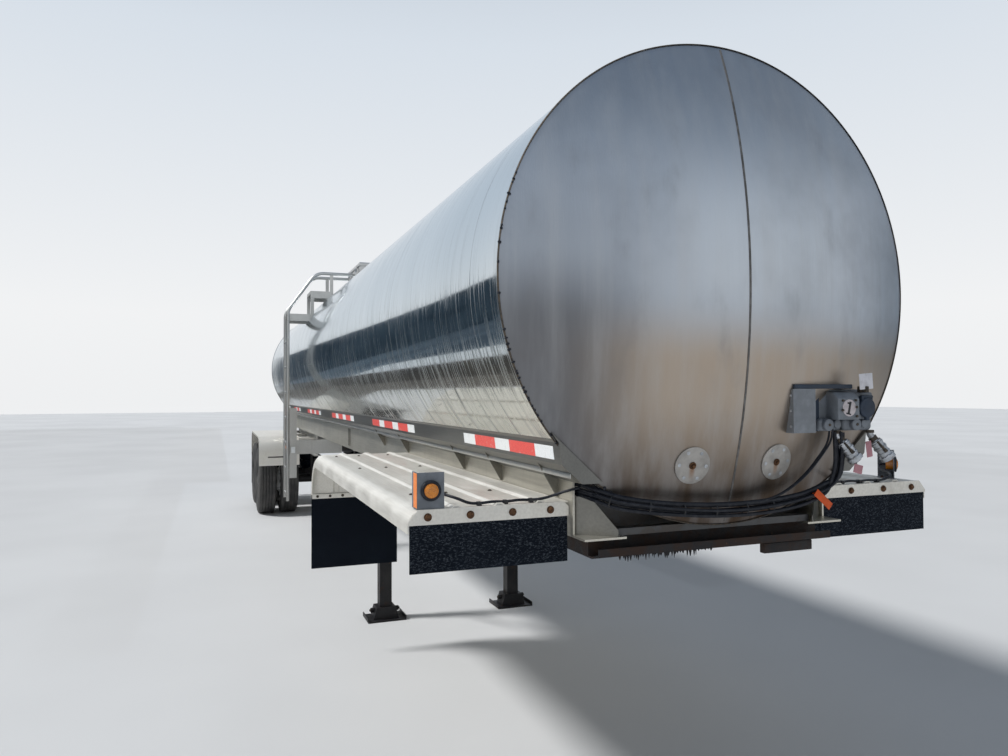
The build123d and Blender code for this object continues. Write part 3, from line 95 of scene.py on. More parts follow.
class Mixer:  # a node tree that is being filled
    def __init__(self, owner):
        owner.use_nodes = True
        self.tree = owner.node_tree
        self.tree.nodes.clear()

    def add(self, kind, settings=None, sockets=None, out=0):
        node = self.tree.nodes.new(kind)
        for key, value in (settings or {}).items():
            if key == "stops":
                while len(node.color_ramp.elements) < len(value):
                    node.color_ramp.elements.new(0.5)
                for element, (position, colour) in zip(node.color_ramp.elements, value):
                    element.position = position
                    element.color = (*colour, 1.0)
            else:
                setattr(node, key, value)
        for key, value in (sockets or {}).items():
            self.link(value, node.inputs[key])
        return Wire(self, node.outputs[out])

    def link(self, value, socket):
        if isinstance(value, Wire):
            self.tree.links.new(value.socket, socket)
        elif isinstance(value, tuple) and len(value) == 3 and len(socket.default_value) == 4:
            socket.default_value = (*value, 1.0)
        else:
            socket.default_value = value

    def end(self, kind, wire):  # the tree's output
        self.link(wire, self.tree.nodes.new(kind).inputs[0])


class Finish(Mixer):  # a material that is being mixed
    names = {
        "colour": "Base Color", "roughness": "Roughness", "metallic": "Metallic", "coat": "Coat Weight",
        "specular": "Specular IOR Level", "tint": "Specular Tint", "normal": "Normal",
    }

    def __init__(self, name, **fixed):
        self.material = bpy.data.materials.new(name)
        super().__init__(self.material)
        self.shader = self.tree.nodes.new("ShaderNodeBsdfPrincipled")
        self.end("ShaderNodeOutputMaterial", Wire(self, self.shader.outputs[0]))
        self.use(**fixed)
        self.place = self.add("ShaderNodeTexCoord", out="Object")
        split = self.add("ShaderNodeSeparateXYZ", {}, {0: self.place}).socket.node
        self.x, self.y, self.z = (Wire(self, socket) for socket in split.outputs)

    def spot(self, stretch, shift=(0, 0, 0)):
        return self.add("ShaderNodeMapping", {}, {"Vector": self.place, "Scale": stretch, "Location": shift})

    def noise(self, scale, stretch=(1, 1, 1), detail=4.0, roughness=0.55, shift=(0, 0, 0)):
        sockets = {"Vector": self.spot(stretch, shift), "Scale": scale, "Detail": detail, "Roughness": roughness}
        return self.add("ShaderNodeTexNoise", {}, sockets)

    def cells(self, scale, stretch=(1, 1, 1)):
        return self.add("ShaderNodeTexVoronoi", {}, {"Vector": self.spot(stretch), "Scale": scale})

    def coats(self, colour, *layers):  # each layer covers a share of what lies under it
        for share, tint in layers:
            colour = self.add("ShaderNodeMix", {"data_type": "RGBA"}, {0: share, 6: colour, 7: tint}, out=2)
        return colour

    def relief(self, height, distance, strength=1.0):
        sockets = {"Height": height, "Distance": distance, "Strength": strength}
        self.use(normal=self.add("ShaderNodeBump", {}, sockets))

    def use(self, **sockets):
        for key, value in sockets.items():
            self.link(value, self.shader.inputs[self.names[key]])
        return self.material


# Finishes

def scaled(tint, share):
    return tuple(value * share for value in tint)


def mirrorSteel():
    finish = Finish("mirrorSteel", metallic=1.0, tint=(0.82, 0.86, 0.89))
    bands = finish.noise(1.6, stretch=(1, 0.05, 0.05), detail=2)
    streaks = finish.noise(24, stretch=(1, 0.07, 0.07), detail=5)
    fine = finish.noise(75, stretch=(1, 0.04, 0.04), detail=4)
    haze = finish.noise(0.7, detail=3)
    low = finish.z.between(2.5, 1.7)
    seam = (finish.x + 0.35).wrap(0.76).between(0.004, 0.0)
    colour = finish.coats(
        (0.7, 0.745, 0.775),
        (bands.between(0.35, 0.7), (0.63, 0.68, 0.715)),
        # painted reflection: the lower half is tinted warm and pale, like the ground it reflects
        (low * 0.75, (0.88, 0.81, 0.69)),
        (streaks.between(0.5, 0.75) * (0.15 + 0.6 * low), (0.3, 0.3, 0.3)),
        (fine.between(0.55, 0.8) * (0.15 + 0.4 * low), (0.22, 0.22, 0.22)),
        (seam * 0.7, (0.16, 0.16, 0.17)),
    )
    brushed = streaks.between(0.45, 0.85) * 0.12 * (0.35 + 0.65 * low)
    scratched = fine.between(0.48, 0.64) * (0.5 + 0.5 * low) * 0.34
    finish.relief(bands * 0.8 + haze * 0.8 + streaks * 0.03 - seam * 0.3, 0.005, 0.4)
    return finish.use(colour=colour, roughness=0.06 + brushed + haze.between(0.4, 0.8) * 0.04 + scratched)


def satinSteel():
    finish = Finish("satinSteel", metallic=1.0, tint=(0.8, 0.82, 0.85))
    grain = finish.noise(160, stretch=(1, 1, 0.012), detail=3)
    streaks = finish.noise(12, stretch=(1, 1, 0.05), detail=6)
    cloud = finish.noise(1.1, detail=5, roughness=0.6)
    blotch = finish.noise(5, stretch=(1, 1, 0.5), detail=6, shift=(2, 3, 1))
    y, z = finish.y, finish.z
    # Painted reflections on the head, as masks: a dark patch at the upper left, a paler sheen in the middle, a bright
    # highlight on the right and a darker far left.
    edge = y.between(-0.3, -0.8) * z.between(2.45, 2.15)
    paintedSheen = y.between(0.95, 0.35) * y.between(-0.55, -0.1) * z.between(2.0, 2.35) * z.between(2.95, 2.5)
    right = y.between(0.25, 0.7) * z.between(2.0, 2.3) * z.between(2.9, 2.5)
    left = y.between(-0.35, -0.85) * z.between(2.85, 2.45)
    colour = finish.coats(
        # cool blue-grey ground colour, in part a painted reflection of the sky
        (0.4, 0.435, 0.485),
        (z.between(2.27, 2.0), (0.45, 0.375, 0.305)),  # painted reflection: warm lower half
        (z.between(1.9, 1.4), (0.07, 0.046, 0.03)),  # painted shade: dark foot
        # painted reflection: darker, cooler top
        (z.between(2.6, 3.1) * 0.6, (0.25, 0.285, 0.33)),
        (edge * 0.85, (0.1, 0.1, 0.105)),
        (paintedSheen * 0.6, (0.62, 0.66, 0.7)),
        (right * 0.75, (0.82, 0.86, 0.92)),
        (left * 0.35, (0.2, 0.215, 0.24)),
        (streaks.between(0.35, 0.75) * 0.3, (0.5, 0.505, 0.51)),
        (cloud.between(0.48, 0.75) * 0.4, (0.24, 0.255, 0.28)),
        (blotch.between(0.55, 0.8) * 0.35, (0.19, 0.19, 0.195)),
    )
    finish.relief(grain + streaks * 0.4, 0.0012, 0.4)
    return finish.use(colour=colour, roughness=0.3 + grain * 0.12 + streaks * 0.08 + cloud * 0.05)


def sheetSteel(name="sheetSteel", tint=(0.6, 0.6, 0.58), dirt=0.5, grain=(0.03, 1, 1)):
    finish = Finish(name)
    lines = finish.noise(120, stretch=grain, detail=3)
    film = finish.noise(3.2, detail=6, roughness=0.65)
    drips = finish.noise(22, stretch=(1, 1, 0.1), detail=5)
    dusty = (film.between(0.35, 0.75) * 0.6 + drips.between(0.5, 0.8) * 0.5) * dirt
    colour = finish.coats(tint, (lines.between(0.3, 0.7), scaled(tint, 0.86)), (dusty, (0.4, 0.38, 0.34)))
    finish.relief(lines * 0.5 + film * 0.6, 0.002, 0.3)
    return finish.use(colour=colour, roughness=0.34 + dusty * 0.35, metallic=0.92 - dusty * 0.5)


def saddleSheet():
    finish = Finish("saddleSheet")
    film = finish.noise(3.2, detail=6, roughness=0.65)
    flakes = finish.noise(8, detail=7, roughness=0.7, shift=(3, 1, 4))
    peel = flakes.between(0.5, 0.55) * finish.z.between(1.46, 1.34)
    # middle marks the part under the tank; its near-black coat is painted shade.
    middle = finish.y.between(-0.6, -0.5) * finish.y.between(0.6, 0.5)
    colour = finish.coats(
        (0.5, 0.49, 0.46),
        (film.between(0.3, 0.7), (0.36, 0.35, 0.32)),
        (middle * 0.88, (0.05, 0.052, 0.058)),
        (peel * 0.8, (0.06, 0.048, 0.04)),
    )
    finish.relief(film * 0.5 - peel * 0.4, 0.003, 0.4)
    return finish.use(colour=colour, roughness=0.4 + film * 0.2, metallic=0.8 - peel * 0.7)


def coverSteel():
    finish = Finish("coverSteel", metallic=0.75)
    cloud = finish.noise(24, detail=5)
    grain = finish.noise(110, stretch=(1, 1, 0.1), detail=3)
    across = abs(abs(finish.y) - covers["spread"] / 2)
    level = tank["axisZ"] - covers["drop"]
    under = finish.z.between(level + 0.014, level + 0.004) * finish.z.between(level - 0.07, level - 0.01)
    run = across.between(0.017, 0.002) * under  # rust that ran down from the bolt
    colour = finish.coats(
        (0.43, 0.41, 0.385), (cloud.between(0.35, 0.7), (0.33, 0.315, 0.295)), (run * 0.7, (0.33, 0.17, 0.075))
    )
    finish.relief(grain * 0.4 + cloud * 0.5, 0.001, 0.4)
    return finish.use(colour=colour, roughness=0.36 + cloud * 0.2 + run * 0.2)


def fenderSheet():
    finish = Finish("fenderSheet")
    brush = finish.noise(90, stretch=(0.05, 1, 1), detail=4)
    salt = finish.noise(2.6, detail=7, roughness=0.7)
    trails = finish.noise(9, stretch=(0.35, 1, 1), detail=5)
    stain = finish.noise(5.5, stretch=(0.5, 1, 1), detail=6, shift=(3, 1, 4))
    crust = salt.between(0.4, 0.72) * 0.7 + trails.between(0.5, 0.75) * 0.4
    colour = finish.coats(
        (0.82, 0.79, 0.72),
        (brush.between(0.3, 0.7), (0.72, 0.69, 0.62)),
        (crust * 0.7, (0.78, 0.765, 0.72)),
        (stain.between(0.58, 0.78) * 0.45, (0.45, 0.41, 0.34)),
    )
    finish.relief(brush * 0.3 + salt * 0.7, 0.0025, 0.35)
    return finish.use(colour=colour, roughness=0.38 + crust * 0.3, metallic=0.45 - crust * 0.3)


def blackPaint(name="blackPaint", rusting=(0.56, 0.7)):
    finish = Finish(name, specular=0.3)
    film = finish.noise(5, detail=6, roughness=0.65)
    rust = finish.noise(11, detail=8, roughness=0.7, shift=(2, 5, 1)).between(*rusting)
    chips = finish.noise(38, detail=5, shift=(9, 2, 6)).between(0.66, 0.72)
    dust = finish.noise(2.2, detail=5, shift=(4, 4, 4)).between(0.45, 0.75)
    colour = finish.coats(
        (0.006, 0.006, 0.008),
        (film.between(0.3, 0.7), (0.02, 0.019, 0.02)),
        (rust * 0.75, (0.05, 0.028, 0.019)),
        (chips * 0.5, (0.13, 0.065, 0.035)),
        (dust * 0.12, (0.14, 0.13, 0.12)),
    )
    finish.relief(film * 0.4 + rust * 0.6 + chips * 0.3, 0.003, 0.5)
    return finish.use(colour=colour, roughness=0.4 + film * 0.2 + rust * 0.3)


def rubberSheet():
    finish = Finish("rubberSheet", specular=0.1)
    lumps = finish.cells(120, stretch=(1, 1, 1.6))
    speck = finish.noise(150, stretch=(1, 0.7, 1.5), detail=5, roughness=0.75) * finish.x.between(4.6, 5.6)
    patch = finish.noise(2.2, detail=4)
    colour = finish.coats(
        (0.002, 0.005, 0.011),
        (speck.between(0.5, 0.64) * 0.55, (0.13, 0.15, 0.175)),
        (patch.between(0.5, 0.8) * 0.25, (0.01, 0.018, 0.028)),
    )
    finish.relief(lumps * 0.5 + speck, 0.003, 0.9)
    return finish.use(colour=colour, roughness=0.5 + speck * 0.3)


def tyreRubber():
    finish = Finish("tyreRubber")
    film = finish.noise(6, detail=6)
    fine = finish.noise(120, detail=3)
    finish.relief(film * 0.5 + fine * 0.5, 0.0015, 0.5)
    colour = finish.coats((0.03, 0.03, 0.031), (film.between(0.35, 0.7), (0.075, 0.072, 0.068)))
    return finish.use(colour=colour, roughness=0.62 + film * 0.25)


def wheelPaint():
    finish = Finish("wheelPaint")
    film = finish.noise(7, detail=6)
    rust = finish.noise(20, detail=7, shift=(3, 2, 5), roughness=0.7).between(0.6, 0.72)
    colour = finish.coats(
        (0.72, 0.73, 0.735), (film.between(0.35, 0.75), (0.5, 0.49, 0.47)), (rust * 0.6, (0.26, 0.13, 0.07))
    )
    finish.relief(film * 0.6 + rust * 0.5, 0.0015, 0.4)
    return finish.use(colour=colour, roughness=0.38 + film * 0.25 + rust * 0.2)


def greyCasting(name="greyCasting", tint=(0.15, 0.165, 0.185)):
    finish = Finish(name, metallic=0.25)
    pits = finish.noise(180, detail=4, roughness=0.7)
    film = finish.noise(12, detail=6)
    colour = finish.coats(
        tint, (film.between(0.35, 0.7), scaled(tint, 1.5)), (pits.between(0.6, 0.75) * 0.4, (0.07, 0.075, 0.08))
    )
    finish.relief(pits * 0.6 + film * 0.5, 0.0012, 0.6)
    return finish.use(colour=colour, roughness=0.42 + film * 0.3)


def lensPlastic(name, deep, bright):
    finish = Finish(name, coat=0.5)
    ribs = finish.cells(220)
    film = finish.noise(18, detail=5)
    colour = finish.coats(
        deep, (ribs.between(0.0, 0.6), bright), (film.between(0.5, 0.8) * 0.3, scaled(deep, 0.5))
    )
    finish.relief(ribs, 0.0012, 0.4)
    return finish.use(colour=colour, roughness=0.12 + film * 0.15)


def tapeFilm(name, dark, light):
    finish = Finish(name)
    comb = finish.cells(260)
    wear = finish.noise(30, detail=6)
    colour = finish.coats(
        dark, (comb.between(0.1, 0.6), light), (wear.between(0.55, 0.75) * 0.45, (0.6, 0.58, 0.55))
    )
    finish.relief(comb, 0.0004, 0.4)
    return finish.use(colour=colour, roughness=0.26 + wear * 0.2)


# A ground colour, a patchy film, and a stain where one is given
def filmed(name, noise, ground, film, rough, bump, span=(0.35, 0.7), share=1.0, stain=None, **fixed):
    finish = Finish(name, **fixed)
    cover = finish.noise(**noise)
    layers = [(cover.between(*span) * share, film)]
    if stain:
        layers.append((finish.noise(**stain["noise"]).between(*stain["span"]) * 0.5, stain["tint"]))
    finish.relief(cover, *bump)
    return finish.use(colour=finish.coats(ground, *layers), roughness=rough[0] + cover * rough[1])


def plainPaint(name, tint, rough):
    noise = {"scale": 40, "detail": 5}
    return filmed(name, noise, tint, scaled(tint, 0.72), (rough, 0.2), (0.0006, 0.4), span=(0.4, 0.75), share=0.7)


finishes = {
    "mirror": mirrorSteel(),
    "satin": satinSteel(),
    "seam": filmed(
        "seamWeld", {"scale": 60, "stretch": (1, 1, 0.4)}, (0.1, 0.095, 0.09), (0.2, 0.195, 0.19),
        (0.45, 0.25), (0.001, 0.6), metallic=0.8,
        stain={"noise": {"scale": 7, "detail": 5}, "span": (0.45, 0.7), "tint": (0.27, 0.25, 0.235)},
    ),
    "sheet": sheetSteel(),
    # The rail's dark tint is a painted reflection of dark surroundings.
    "rail": sheetSteel("railPaintedReflection", (0.17, 0.17, 0.16), 0.25),
    "frame": sheetSteel("frameSheet", (0.66, 0.63, 0.55), 0.4),
    # The outriggers' dark tint is painted shade: a darkened copy of the same sheet steel.
    "outrigger": sheetSteel("outriggerPaintedShade", (0.2, 0.195, 0.175), 0.3),
    "cabinet": sheetSteel("cabinetSheet", (0.66, 0.66, 0.65), 0.3, grain=(1, 1, 0.03)),
    "fender": fenderSheet(),
    "black": blackPaint(),
    "coupler": blackPaint("couplerPaint", (0.4, 0.62)),
    "saddle": saddleSheet(),
    "cover": coverSteel(),
    "rubber": rubberSheet(),
    "tyre": tyreRubber(),
    "wheel": wheelPaint(),
    "casting": greyCasting(),
    "socket": greyCasting("socketCasting", (0.025, 0.037, 0.058)),
    "bracket": greyCasting("bracketPaint", (0.2, 0.215, 0.235)),
    "zinc": filmed(
        "zincCasting", {"scale": 30, "detail": 6}, (0.55, 0.57, 0.6), (0.36, 0.38, 0.4),
        (0.35, 0.3), (0.001, 0.6), metallic=0.85,
        stain={
            "noise": {"scale": 55, "detail": 5, "shift": (1, 7, 2)}, "span": (0.55, 0.7), "tint": (0.17, 0.12, 0.09),
        },
    ),
    "rust": filmed(
        "rustyIron", {"scale": 90, "detail": 7, "roughness": 0.7}, (0.06, 0.028, 0.014), (0.2, 0.095, 0.04),
        (0.7, 0.2), (0.0015, 0.7), metallic=0.3,
        stain={"noise": {"scale": 35, "shift": (5, 1, 2)}, "span": (0.55, 0.75), "tint": (0.4, 0.23, 0.1)},
    ),
    "bolt": filmed(
        "darkBolt", {"scale": 120, "detail": 5}, (0.05, 0.045, 0.04), (0.14, 0.11, 0.08),
        (0.5, 0.3), (0.0008, 0.5), metallic=0.6,
    ),
    "amber": lensPlastic("amberLens", (0.42, 0.1, 0.003), (0.78, 0.26, 0.008)),
    "red": lensPlastic("redLens", (0.35, 0.008, 0.008), (0.75, 0.03, 0.03)),
    "tapeRed": tapeFilm("tapeRed", (0.62, 0.035, 0.03), (0.85, 0.09, 0.07)),
    "tapeWhite": tapeFilm("tapeWhite", (0.72, 0.75, 0.75), (0.88, 0.9, 0.9)),
    "tapeOrange": tapeFilm("tapeOrange", (0.85, 0.16, 0.03), (0.98, 0.3, 0.07)),
    "jacket": filmed(
        "jacketPlastic", {"scale": 45, "detail": 5}, (0.006, 0.008, 0.014), (0.028, 0.03, 0.038),
        (0.32, 0.25), (0.0008, 0.4), span=(0.4, 0.75), specular=0.3,
    ),
    "card": plainPaint("cardPaper", (0.75, 0.74, 0.78), 0.6),
    "plate": plainPaint("numberPlate", (0.62, 0.56, 0.57), 0.35),
    "ink": plainPaint("numberInk", (0.012, 0.012, 0.014), 0.4),
    "strap": plainPaint("strapNylon", (0.72, 0.1, 0.015), 0.6),
    "tag": plainPaint("fadedTag", (0.5, 0.24, 0.27), 0.6),
}
print("finishes mixed:", len(finishes))

nodesOf = {
    "mirror": ("tank_barrel", "outlet_valve"), "satin": ("front_head", "rear_head"), "rail": ("side_rails",),
    "frame": ("frame_rails",), "saddle": ("saddles",), "outrigger": ("outriggers",), "coupler": ("coupler_plate",),
    "rust": ("kingpin",), "fender": ("front_fender_left", "front_fender_right", "rear_fenders"),
    "sheet": ("fender_brackets", "ladder", "ladder_outrigger", "rear_subframe", "rear_bumper"),
    "rubber": ("rubber_flaps", "air_springs"), "casting": ("marker_brackets", "connector_box"),
    "amber": ("marker_lamps",), "zinc": ("gladhands",), "jacket": ("cable_bundle", "lamp_wires"),
    "black": ("landing_legs", "landing_shaft", "suspension", "axles", "air_reservoirs"), "red": ("tail_lamps",),
    "cabinet": (
        "manhole_box", "manhole_lid", "manhole_cover", "valve_cabinet", "cabinet_door_left", "cabinet_door_right",
    ),
    "wheel": [name for name in nodes if name.endswith("_rims")],
    "tyre": [name for name in nodes if name.endswith("_tyres")],
}
finishOf = {name: finishes[key] for key, group in nodesOf.items() for name in group}
for name, item in nodes.items():
    item.data.materials.clear()
    item.data.materials.append(finishOf[name])
print("carried nodes finished:", len(nodes))


# Studio

studio = {
    "eye": (8.614, -1.92, 1.888), "yaw": 20.9, "pitch": 1.2, "roll": -0.2, "lens": 27.04, "sensor": 36.0,
    "farthest": 400, "floorSize": 160.0,
    "floor": ("floorPaper", 0.25, 3, (0.3, 0.7), (0.76, 0.76, 0.755), (0.7, 0.7, 0.695), 0.75),
    "skyStrength": 0.52, "keyPower": 2.7, "keySpread": 9.0, "keyAim": (0.14, 0.66, -0.75),
    "sky": [
        (0.0, (0.86, 0.87, 0.88)), (0.1, (0.88, 0.89, 0.9)), (0.42, (0.68, 0.74, 0.81)),
        (0.8, (0.3, 0.37, 0.47)), (1.0, (0.24, 0.3, 0.4)),
    ],
}
flags = {
    "cloths": {
        "shade": ("flagCloth", 0.16, 6, (0.35, 0.65), (0.008, 0.028, 0.05), (0.08, 0.12, 0.155)),
        "carpet": ("flagCarpet", 0.5, 6, (0.3, 0.7), (0.085, 0.08, 0.075), (0.19, 0.175, 0.155)),
        "canvas": ("flagCanvas", 0.7, 5, (0.3, 0.7), (0.6, 0.64, 0.68), (0.8, 0.82, 0.82)),
    },
    "boxes": (
        ("Side", (-40, -20, 0), (14, -20, 9.2), "shade"),
        ("Shelf", (-39, -19.9, 0.85), (6, -4.15, 0.85), "shade"),
        ("ShelfRear", (-38, -4.15, 0.85), (-12, -3.2, 0.85), "shade"),
        ("ShelfPale", (-12, -4.15, 0.85), (6, -3.2, 0.85), "canvas"),
        ("Riser", (-38, -3.2, 0.02), (6, -3.16, 0.84), "carpet"),
        ("Ground", (-38, -3.15, 0.02), (2.4, -2.5, 0.02), "carpet"),
        ("GroundRear", (-38, -2.5, 0.02), (-9, -1.6, 0.02), "carpet"),
    ),
    "backX": -40, "thin": 0.01,
    "backEdge": (
        (-3.5, 0), (-3.5, 4.9), (-6.2, 5.8), (-10, 6.6), (-14, 7.7), (-18, 9.6), (-20, 10.2), (-20, 0),
    ),
}


def makeCamera():
    data = bpy.data.cameras.new("camera")
    data.lens = studio["lens"]
    data.sensor_width = studio["sensor"]
    data.clip_end = studio["farthest"]
    camera = bpy.data.objects.new("camera", data)
    bpy.context.scene.collection.objects.link(camera)
    yaw, pitch, roll = (math.radians(studio[key]) for key in ("yaw", "pitch", "roll"))
    gaze = Vector((-math.cos(yaw) * math.cos(pitch), math.sin(yaw) * math.cos(pitch), math.sin(pitch)))
    turn = gaze.to_track_quat("-Z", "Y") @ Matrix.Rotation(roll, 3, "Z").to_quaternion()
    camera.location = studio["eye"]
    camera.rotation_euler = turn.to_euler()
    bpy.context.scene.camera = camera


def studioCloth(name, scale, detail, span, first, second, roughness=1.0):
    finish = Finish(name, roughness=roughness)
    weave = finish.noise(scale, detail=detail)
    return finish.use(colour=finish.coats(first, (weave.between(*span), second)))


def makeFloor():
    clearSelection()
    bpy.ops.mesh.primitive_plane_add(size=studio["floorSize"], location=(0, 0, 0))
    floor = bpy.context.object
    floor.name = "studioFloor"
    floor.data.materials.append(studioCloth(*studio["floor"]))


def makeLights():
    world = bpy.data.worlds.new("studioAir")
    bpy.context.scene.world = world
    air = Mixer(world)
    place = air.add("ShaderNodeTexCoord", out="Generated")
    height = air.add("ShaderNodeSeparateXYZ", {}, {0: place}, out="Z")
    colour = air.add("ShaderNodeValToRGB", {"stops": studio["sky"]}, {0: height})
    camera, glossy, through = (
        air.add("ShaderNodeLightPath", out=f"Is {kind} Ray") for kind in ("Camera", "Glossy", "Transmission")
    )
    clear = through.combine("MAXIMUM", camera.combine("MAXIMUM", camera, glossy), through)
    strength = air.add("ShaderNodeMapRange", {}, {0: clear, 3: studio["skyStrength"], 4: 1.0})
    air.end("ShaderNodeOutputWorld", air.add("ShaderNodeBackground", {}, {"Color": colour, "Strength": strength}))
    key = bpy.data.lights.new("keyLight", "SUN")
    key.energy = studio["keyPower"]
    key.angle = math.radians(studio["keySpread"])
    lamp = bpy.data.objects.new("keyLight", key)
    lamp.rotation_euler = Vector(studio["keyAim"]).to_track_quat("-Z", "Y").to_euler()
    bpy.context.scene.collection.objects.link(lamp)


def dressFlag(flag, name, material):  # seen in the metal alone
    flag.name = name
    flag.data.materials.append(material)
    flag.visible_camera = False
    flag.visible_diffuse = False
    flag.visible_shadow = False


def makeFlags():  # dark studio flags that give the polished metal its contours
    cloths = {key: studioCloth(*cloth) for key, cloth in flags["cloths"].items()}
    for side, label in ((1, "Right"), (-1, "Left")):
        back = outlineSheet([(flags["backX"], side * y, z) for y, z in flags["backEdge"]], (flags["thin"], 0, 0))
        dressFlag(back, "flagBack" + label, cloths["shade"])
        for name, (x0, y0, z0), (x1, y1, z1), cloth in flags["boxes"]:
            flag = block((x0, side * y0, z0), (x1, side * y1, z1), flags["thin"])
            dressFlag(flag, "flag" + name + label, cloths[cloth])


# Modelling helpers

def clearSelection():
    if bpy.context.mode != "OBJECT":
        bpy.ops.object.mode_set(mode="OBJECT")
    bpy.ops.object.select_all(action="DESELECT")


def pick(*items):
    clearSelection()
    for item in items:
        item.select_set(True)
    bpy.context.view_layer.objects.active = items[0]


def settle(piece):  # its place goes into its mesh
    pick(piece)
    bpy.ops.object.transform_apply(location=True, rotation=True, scale=True)
    return piece


def openEdit(piece):
    pick(piece)
    bpy.ops.object.mode_set(mode="EDIT")
    bpy.ops.mesh.select_mode(type="FACE")


def chooseFaces(piece, test):
    bpy.ops.mesh.select_all(action="DESELECT")
    bpy.ops.object.mode_set(mode="OBJECT")
    for face in piece.data.polygons:
        face.select = test(face.center, face.normal)
    bpy.ops.object.mode_set(mode="EDIT")


def closeEdit():
    bpy.ops.object.mode_set(mode="OBJECT")


def shape(piece, kind, **settings):  # a modifier, applied at once
    modifier = piece.modifiers.new(kind.lower(), kind)
    for key, value in settings.items():
        setattr(modifier, key, value)
    pick(piece)
    bpy.ops.object.modifier_apply(modifier=modifier.name)
    return piece


def block(low, high, least=0.0):  # a bare box between two corners
    clearSelection()
    bpy.ops.mesh.primitive_cube_add(size=1, location=[(a + b) / 2 for a, b in zip(low, high)])
    piece = bpy.context.object
    piece.scale = [max(abs(b - a), least) for a, b in zip(low, high)]
    return settle(piece)


def slab(low, high, edge=0.002, steps=2):
    return shape(block(low, high), "BEVEL", width=edge, segments=steps, limit_method="ANGLE")


def rod(start, end, radius, steps=24, edge=0.0):
    clearSelection()
    start, end = Vector(start), Vector(end)
    run = end - start
    bpy.ops.mesh.primitive_cylinder_add(
        vertices=steps, radius=radius, depth=run.length, location=(start + end) / 2,
        rotation=run.to_track_quat("Z", "Y").to_euler(),
    )
    piece = settle(bpy.context.object)
    if edge:
        shape(piece, "BEVEL", width=edge, segments=2, limit_method="ANGLE", angle_limit=math.radians(50))
    return piece


def drawLine(points):  # a corner extruded from point to point, left in edit mode
    clearSelection()
    bpy.ops.mesh.primitive_plane_add(size=0.001, location=points[0])
    piece = settle(bpy.context.object)
    openEdit(piece)
    bpy.ops.mesh.select_mode(type="VERT")
    bpy.ops.mesh.select_all(action="SELECT")
    bpy.ops.mesh.merge(type="CENTER")
    for before, after in zip(points, points[1:]):
        step = Vector(after) - Vector(before)
        bpy.ops.mesh.extrude_region_move(TRANSFORM_OT_translate={"value": step})
    return piece


def outlineSheet(points, thickness):  # an outline, filled and thickened
    piece = drawLine(points)
    bpy.ops.mesh.select_all(action="SELECT")
    bpy.ops.mesh.edge_face_add()
    bpy.ops.mesh.extrude_region_move(TRANSFORM_OT_translate={"value": Vector(thickness)})
    bpy.ops.mesh.select_all(action="SELECT")
    bpy.ops.mesh.normals_make_consistent(inside=False)
    closeEdit()
    return piece


def spun(profile, centre, axis, steps=96, turn=360.0, closed=False):  # a profile turned about an axis
    piece = drawLine(profile)
    if closed:
        bpy.ops.mesh.select_all(action="SELECT")
        bpy.ops.mesh.edge_face_add()
        bpy.ops.mesh.delete(type="ONLY_FACE")
    bpy.ops.mesh.select_all(action="SELECT")
    bpy.ops.mesh.spin(steps=steps, angle=math.radians(turn), center=centre, axis=axis)
    bpy.ops.mesh.select_all(action="SELECT")
    bpy.ops.mesh.remove_doubles(threshold=0.00002)
    bpy.ops.mesh.normals_make_consistent(inside=False)
    closeEdit()
    return piece


def lathed(profile, place, steps=48):  # radii and heights, turned about Z and set in place
    piece = spun([(r, 0, z) for r, z in profile], (0, 0, 0), (0, 0, 1), steps=steps)
    piece.data.transform(place)
    return piece


def turned(spot, degrees, axis="X"):  # a place, with a turn about one axis
    return Matrix.Translation(spot) @ Matrix.Rotation(math.radians(degrees), 4, axis)


def facing(place, normal, spin=0.0):  # where a sample that looks up is set on a surface
    turn = Vector((0, 0, 1)).rotation_difference(Vector(normal))
    return Matrix.Translation(place) @ turn.to_matrix().to_4x4() @ Matrix.Rotation(spin, 4, "Z")


def facingLoose(place, normal):  # the same, turned as the spanner left it
    return facing(place, normal, chance.uniform(0, 1))


def repeat(sample, spots):  # copies of a sample, each with its own mesh, joined
    copies = []
    for spot in spots:
        copy = bpy.data.objects.new(sample.name, sample.data.copy())
        copy.data.transform(spot)
        bpy.context.scene.collection.objects.link(copy)
        copies.append(copy)
    bpy.data.objects.remove(sample)
    return merge(copies)


def merge(items):
    pick(*items)
    if len(items) > 1:
        bpy.ops.object.join()
    return bpy.context.view_layer.objects.active


def finishPiece(made, name, key, body=rootBody, smooth=35.0, hides=()):
    piece = merge(made) if isinstance(made, list) else made
    piece.name = name
    piece.data.name = name
    piece.data.materials.clear()
    piece.data.materials.append(finishes[key])
    pick(piece)
    bpy.ops.object.shade_smooth_by_angle(angle=math.radians(smooth))
    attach(piece, body)
    if hides:
        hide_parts(*hides)


def domedHead(steps, radius, height, inset, rise):
    clearSelection()
    bpy.ops.mesh.primitive_cylinder_add(vertices=steps, radius=radius, depth=height, location=(0, 0, height / 2))
    head = settle(bpy.context.object)
    openEdit(head)
    chooseFaces(head, lambda centre, normal: normal.z > 0.9)
    bpy.ops.mesh.inset(thickness=inset)
    bpy.ops.transform.translate(value=(0, 0, rise))
    closeEdit()
    return head


def boltSample(width, height, washer=0.0):  # a hexagon head, a little domed, on its washer
    head = domedHead(6, width / 2, height, width * 0.12, height * 0.14)
    if not washer:
        return head
    return merge([head, rod((0, 0, 0), (0, 0, height * 0.28), washer / 2, steps=20)])


def rivetSample(radius, height):
    return domedHead(14, radius, height, radius * 0.4, height * 0.5)


